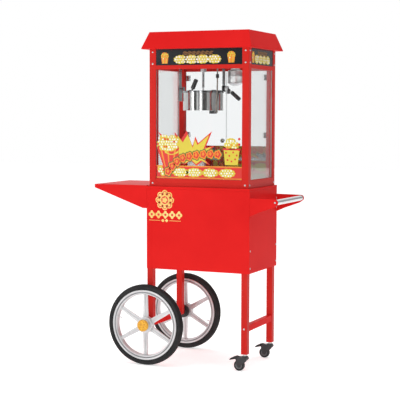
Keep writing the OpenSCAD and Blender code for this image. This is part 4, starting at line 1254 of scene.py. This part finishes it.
# %% Valve, rim lips and ribs
def make_wheel_details(side):
    """Rolled lips on the rim, a narrow rib down each spoke, the valve, and a dark ring of painted shade in the
    channel between the lips.
    """
    place, radius, _ = wheel_place(side)
    rim = radius / MM - TYRE_MM

    def lips(*outlines):
        """Rings on both faces of the rim."""
        return with_far_side([spun(in_mm(outline), 160) for outline in outlines])

    def put(name, meshes, finish_of_piece):
        """The meshes as one piece on the wheel."""
        mesh = joined(meshes)
        mesh.transform(place)
        smooth(mesh)
        place_piece(side + name, mesh, body_of(side + "_wheel"), finish_of_piece)

    parts = lips(
        [(rim - 8.0, 15.0), (rim - 7.5, 17.6), (rim - 5.5, 18.6), (rim - 1.4, 18.6), (rim + 0.4, 16.5)],
        [(rim - 18.5, 13.5), (rim - 18.2, 16.0), (rim - 16.4, 16.8), (rim - 14.6, 16.0), (rim - 14.2, 13.5)])
    rib = rounded_bar(((rim - HUB_MM - 16) * MM, 3.6 * MM, 20 * MM), 1.2)
    for k in range(SPOKES):
        spoke = rib.copy()
        spoke.transform(about("Z", 360 * (k + 0.5) / SPOKES) @ moved((rim + HUB_MM - 16) / 2 * MM, 0, 0))
        parts.append(spoke)
    valve = spun(in_mm([(0, 0), (3.6, 0), (3.6, 5), (2.6, 6), (2.6, 14), (3.2, 14), (3.2, 21), (2.4, 22), (0, 22)]),
                 18)
    valve.transform(about("Z", 168 if side == "front" else 20) @ moved((rim - 21) * MM, 0, 4 * MM) @ about("Y", -75))
    put("_rim_details", parts + [valve], WHEEL_SILVER)
    # The channel between the lips is painted dark grey as painted shade.
    channel = [(rim - 14.4, 14.5), (rim - 14.2, 16.0), (rim - 7.7, 16.6), (rim - 7.6, 14.5)]
    put("_rim_channel", lips(channel), RIM_PAINTED_SHADE)


# %% Cap
def make_cap(side):
    """The embossed gold cap: a dished disc with a beaded ring and a flower of six lobes."""
    place, _, _ = wheel_place(side)
    low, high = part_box(side + "_hub_cap")
    radius = (high.z - low.z) / 2
    base = min(abs(y - place.translation.y) for y in (low.y, high.y))
    top = base + high.y - low.y
    disc = [(0, top - 2.2 * MM), (radius * 0.68, top - 2.2 * MM), (radius * 0.76, top - 0.2 * MM),
            (radius * 0.90, top - 0.2 * MM), (radius, top - 3 * MM), (radius, base), (radius - 2 * MM, base),
            (radius - 2 * MM, top - 4.5 * MM), (0, top - 4.5 * MM)]

    def round_cap(share, height, count):
        """Places in a ring on the cap, with the directions they point in."""
        turns = [2 * math.pi * k / count for k in range(count)]
        return [(Vector((radius * share * math.cos(a), radius * share * math.sin(a), height)), up) for a in turns]

    up = Vector((0, 0, 1))
    bead = spun(in_mm([(0, 1.1), (0.9, 0.8), (1.3, 0), (0, 0)]), 8)
    lobe = spun(in_mm([(0, 1.9), (2.6, 1.5), (4.3, 0), (0, 0)]), 16)
    beads = round_cap(0.83, top - 0.4 * MM, 30)
    lobes = round_cap(0.40, top - 2.3 * MM, 6) + [(Vector((0, 0, top - 2.3 * MM)), up)]
    mesh = joined([spun(disc, 64), repeat_on(beads, bead, HUB_GOLD), repeat_on(lobes, lobe, HUB_GOLD)])
    mesh.transform(place)
    smooth(mesh)
    piece = place_piece(side + "_cap_finished", mesh, body_of(side + "_hub_cap"), HUB_GOLD)
    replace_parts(piece, side + "_hub_cap")


for side in ("front", "rear"):
    make_tyre(side)
    make_wheel_details(side)
    make_cap(side)
print("wheels finished: 2")

# %% [markdown]
# ## Grips
#
# The kettle's lid and its tilt lever have moulded black grips, round with shallow flutes so that
# they don't slip. Each is an outline spun round the grip's own axis, with a radius that ripples.


# %% Fluted grips
def fluted(radius, length, flutes, depth=0.03):
    """A round-ended grip along +Z with flutes."""
    outline = [(0, 0), (radius * 0.7, 0), (radius * 0.92, radius * 0.12), (radius, radius * 0.35),
               (radius, length * 0.5), (radius, length - radius * 0.45), (radius * 0.9, length - radius * 0.14),
               (radius * 0.62, length), (0, length)]

    def ripple(i, angle):
        return 1 - (depth * (0.5 + 0.5 * math.cos(flutes * angle)) if 3 <= i <= 5 else 0)

    return spun(outline, flutes * 8, ripple)


def make_lid_grip():
    """The grip that stands on the front lid, leaning outwards, with its foot."""
    low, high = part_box("lid_grip")
    stand = moved(KETTLE_X - 40 * MM, (low.y + high.y) / 2, low.z)
    base = spun(in_mm([(0, 0), (8, 0), (8, 2), (6.5, 3), (4, 3.4), (4, 5), (0, 5)]), 32)
    base.transform(stand)
    lean = stand @ moved(0, 0, 2 * MM) @ about("Y", 24)
    grip = fluted(10.3 * MM, 50 * MM, 12)
    grip.transform(lean @ moved(0, 0, 8 * MM))
    neck = spun(in_mm([(0, 0), (4, 0), (4, 9), (0, 9)]), 24)
    neck.transform(lean)
    mesh = joined([base, grip, neck])
    smooth(mesh)
    piece = place_piece("lid_grip_finished", mesh, body_of("lid_grip"), BLACK_PLASTIC)
    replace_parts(piece, "lid_grip")


def make_tilt_grip():
    """The grip on the tilt lever's bent end, and the collar on its straight part."""
    lever_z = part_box("tilt_grip")[1].z - 12 * MM
    elbow = moved(CART_X + 92 * MM, 0, lever_z)
    grip = fluted(9.4 * MM, 57 * MM, 12)
    grip.transform(elbow @ about("Y", 130) @ moved(0, 0, 6 * MM))
    collar = spun(in_mm([(4.56, 0), (11, 0), (12, 1), (12, 5), (11, 6), (4.56, 6)]), 32)
    collar.transform(elbow @ moved(-11 * MM, 0, 0) @ about("Y", 90))
    mesh = joined([grip, collar])
    smooth(mesh)
    piece = place_piece("tilt_grip_finished", mesh, body_of("tilt_grip"), BLACK_PLASTIC)
    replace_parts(piece, "tilt_grip")


make_lid_grip()
make_tilt_grip()
print("grips: 2")

# %% [markdown]
# ## The heater's lead
#
# A braided metal sleeve protects the lead from the hot kettle. The sleeve's wires cross in a
# diamond pattern. The tube's radius rises where a wire passes over, so the braid is in the mesh.
# The lead hangs from the gland and ends in the kettle's terminal box.

# %% Braided lead
LEAD_ROUTE_MM = [
    (54, -72, 1431.9), (54, -72, 1415), (54, -72, 1400), (54, -72, 1385), (54, -72, 1370),
    (54, -73, 1350), (54, -74, 1330), (54, -75, 1310), (53, -77, 1290), (53, -78, 1270),
    (52, -78, 1252), (50, -76, 1236), (48, -70, 1224), (47, -61, 1216), (45, -53, 1212.5),
    (42, -47, 1211.3), (38.5, -45, 1211), (35.4, -45, 1211),
]
LEAD_R = 3.3 * MM
WIRES = 8
LAY = 9 * MM    # along the lead, one round of the braid


def smooth_route(points, step):
    """Points a small step apart on a curve through the route's points."""
    dense = []
    for i in range(len(points) - 1):
        before, a = points[max(i - 1, 0)], points[i]
        b, after = points[i + 1], points[min(i + 2, len(points) - 1)]
        pieces = max(2, int((b - a).length / step))
        for k in range(pieces):
            t = k / pieces
            dense.append(0.5 * (2 * a + (b - before) * t + (2 * before - 5 * a + 4 * b - after) * t * t
                                + (3 * a - before - 3 * b + after) * t ** 3))
    dense.append(points[-1])
    return dense


def braided_tube(route, radius, sides=32):
    """A tube whose surface rises and falls as crossing wires do."""
    verts, faces = [], []
    across = Vector((1, 0, 0))
    travelled = 0.0
    for i, point in enumerate(route):
        ahead = (route[min(i + 1, len(route) - 1)] - route[max(i - 1, 0)]).normalized()
        across = (across - ahead * across.dot(ahead)).normalized()
        up = ahead.cross(across)
        if i:
            travelled += (point - route[i - 1]).length
        climb = 2 * math.pi * travelled / LAY
        for k in range(sides):
            angle = 2 * math.pi * k / sides
            one = abs(math.sin((WIRES * angle + climb * 2) / 2))
            two = abs(math.sin((WIRES * angle - climb * 2) / 2))
            r = radius * (0.94 + 0.10 * max(one, two) ** 4)
            verts.append(point + (across * math.cos(angle) + up * math.sin(angle)) * r)
    for i in range(len(route) - 1):
        a, b = i * sides, (i + 1) * sides
        faces += [(a + k, a + (k + 1) % sides, b + (k + 1) % sides, b + k) for k in range(sides)]
    faces.append(list(range(sides))[::-1])
    faces.append([(len(route) - 1) * sides + k for k in range(sides)])
    mesh = new_mesh("braid", verts, faces)
    mesh.shade_smooth()
    return mesh


route = smooth_route([Vector((CART_X + x * MM, y * MM, z * MM)) for x, y, z in LEAD_ROUTE_MM], 0.9 * MM)
lead_mesh = braided_tube(route, LEAD_R)
lead_mesh.materials.append(BRAID)
lead = bpy.data.objects.new("braided_lead", lead_mesh)
into_scene(lead)
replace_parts(lead, "heater_lead")
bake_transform(lead)
print("lead:", round(sum((b - a).length for a, b in zip(route, route[1:])), 3), "m")

# %% [markdown]
# ## The heat lamp
#
# The lamp has a satin metal shade, a frosted face below and a dark socket at the ceiling.

# %% Lamp
lamp_low, lamp_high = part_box("heat_lamp")
LAMP_R_MM = (lamp_high.x - lamp_low.x) / 2 / MM
FACE_MM, CEILING_MM = lamp_low.z / MM, lamp_high.z / MM


def lamp_part(name, outline, material):
    """A turned part of the lamp from (radius, height) in millimetres."""
    mesh = spun(in_mm(outline), 72)
    mesh.transform(moved((lamp_low.x + lamp_high.x) / 2, (lamp_low.y + lamp_high.y) / 2, 0))
    return place_piece(name, mesh, "root", material)


FACE_R_MM, FACE_STEP = 50, 4.6
dome = [(0, FACE_MM)]
for k in range(1, 11):
    angle = math.radians(-90 + FACE_STEP * k)
    dome.append((FACE_R_MM * math.cos(angle), FACE_MM + FACE_R_MM + FACE_R_MM * math.sin(angle)))
shade = [
    (0, FACE_MM + 13), (LAMP_R_MM - 1.6, FACE_MM + 13), (LAMP_R_MM, FACE_MM + 14.5), (LAMP_R_MM, FACE_MM + 17),
    (LAMP_R_MM - 1.2, FACE_MM + 18.5), (LAMP_R_MM - 1.2, FACE_MM + 42), (LAMP_R_MM, FACE_MM + 44),
    (LAMP_R_MM, FACE_MM + 48), (LAMP_R_MM - 1.2, FACE_MM + 50), (LAMP_R_MM - 1.2, CEILING_MM - 24),
    (LAMP_R_MM - 4, CEILING_MM - 20), (24, CEILING_MM - 19), (22, CEILING_MM - 17), (22, CEILING_MM - 8),
    (0, CEILING_MM - 8),
]
socket = [(0, CEILING_MM - 8.5), (18, CEILING_MM - 8.5), (18, CEILING_MM - 0.1), (0, CEILING_MM - 0.1)]
lamp_part("lamp_face", dome + [(0, FACE_MM + 20)], LAMP_WHITE)
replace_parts(lamp_part("lamp_shade", shade, LAMP_STEEL), "heat_lamp")
lamp_part("lamp_socket", socket, BLACK_PLASTIC)
print("lamp face:", round(FACE_MM), "mm above the floor")

# %% [markdown]
# ## Casters
#
# Each caster wheel has a raised ring on both faces, in a lighter grey than the black rubber as a painted highlight.
# Each brake is a thick pedal that slopes down to its edge, with ridges across it for the foot.


# %% Caster rings and pedals
def prism(outline, half):
    """A solid from an outline of (x, z) in metres, reaching half its width to each side of y = 0."""
    count = len(outline)
    points = [(x, side * half, z) for side in (-1, 1) for x, z in outline]
    around = [(k, (k + 1) % count, count + (k + 1) % count, count + k) for k in range(count)]
    ends = [tuple(reversed(range(count))), tuple(range(count, 2 * count))]
    mesh = new_mesh("prism", points, around + ends)
    shape = bmesh.new()
    shape.from_mesh(mesh)
    bmesh.ops.recalc_face_normals(shape, faces=shape.faces)
    shape.to_mesh(mesh)
    shape.free()
    return mesh


PEDAL_MM = [(-32, 60), (-33, 67), (-38, 70), (-46, 69), (-60, 63), (-71, 57), (-76, 52), (-76, 49), (-72, 48.2),
            (-58, 52), (-46, 54), (-38, 54.6), (-33, 54.9)]
CASTER_TRAIL = 28 * MM


def make_caster_details(side):
    """Rings on both faces of the caster's wheel, lighter grey as a painted highlight, and its pedal with its axle
    and ridges.
    """
    low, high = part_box(side + "_caster_wheel")
    centre = (low + high) / 2
    ring = spun(in_mm([(10.5, 8.05), (11, 9.6), (13, 9.9), (16.5, 9.2), (17, 8.05)]), 64)
    rings = joined(with_far_side([ring]))
    rings.transform(Matrix.Translation(centre) @ about("X", 90))
    smooth(rings)
    # The rings' lighter grey is a painted highlight on the black caster.
    place_piece(side + "_caster_rings", rings, body_of(side + "_caster_wheel"), CASTER_PAINTED_HIGHLIGHT)
    axle = spun(in_mm([(0, -15), (2, -15), (2, 15), (0, 15)]), 24)
    axle.transform(moved(-37 * MM, 0, 57 * MM) @ about("X", 90))
    parts = [bevelled(prism(in_mm(PEDAL_MM), 10.2 * MM), 1.2, 3), axle]
    for k in range(4):
        ridge = rounded_bar((1.6 * MM, 9 * MM, 1.2 * MM), 0.3)
        ridge.transform(moved((-50 - 6 * k) * MM, 0, (67.4 - 3 * k) * MM) @ about("Y", -25))
        parts.append(ridge)
    pedal = joined(parts)
    pedal.transform(moved(centre.x + CASTER_TRAIL, centre.y, 0))
    piece = place_piece(side + "_pedal", pedal, body_of(side + "_caster_brake"), CASTER_RUBBER)
    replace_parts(piece, side + "_caster_brake")


for side in ("front", "rear"):
    make_caster_details(side)
print("casters finished: 2")

# %% [markdown]
# ## Ribs on the gland
#
# The lead's gland is tightened by hand, so its nuts have ribs round them. They are one small bar
# on points in rings, so the repeat tree makes them.


# %% Ribs round the gland
def ribs_round(centre, radius, height, count):
    """(place, direction) of ribs round an upright axis, each pointing outwards."""
    spots = []
    for k in range(count):
        angle = 2 * math.pi * k / count
        out = RIB_SIDE * math.cos(angle) + RIB_OTHER * math.sin(angle)
        spots.append((centre + out * radius + UP * height, out))
    return spots


UP = Vector((0, 0, 1))
RIB_SIDE = UP.orthogonal().normalized()
RIB_OTHER = UP.cross(RIB_SIDE)
GLAND = Vector((CART_X + 54 * MM, -0.072, 0))
gland_spots = []
for height, radius in ((1377, 7.4), (1382, 7.4), (1387, 7.4), (1423, 8.9), (1428, 8.9)):
    gland_spots += ribs_round(GLAND, radius * MM, height * MM, 20)
ribs = repeat_on(gland_spots, rounded_bar((1.2 * MM, 1.2 * MM, 1.2 * MM), 0.3), BLACK_PLASTIC)
place_piece("gland_ribs", ribs, "root", BLACK_PLASTIC)
print("ribs:", len(gland_spots))
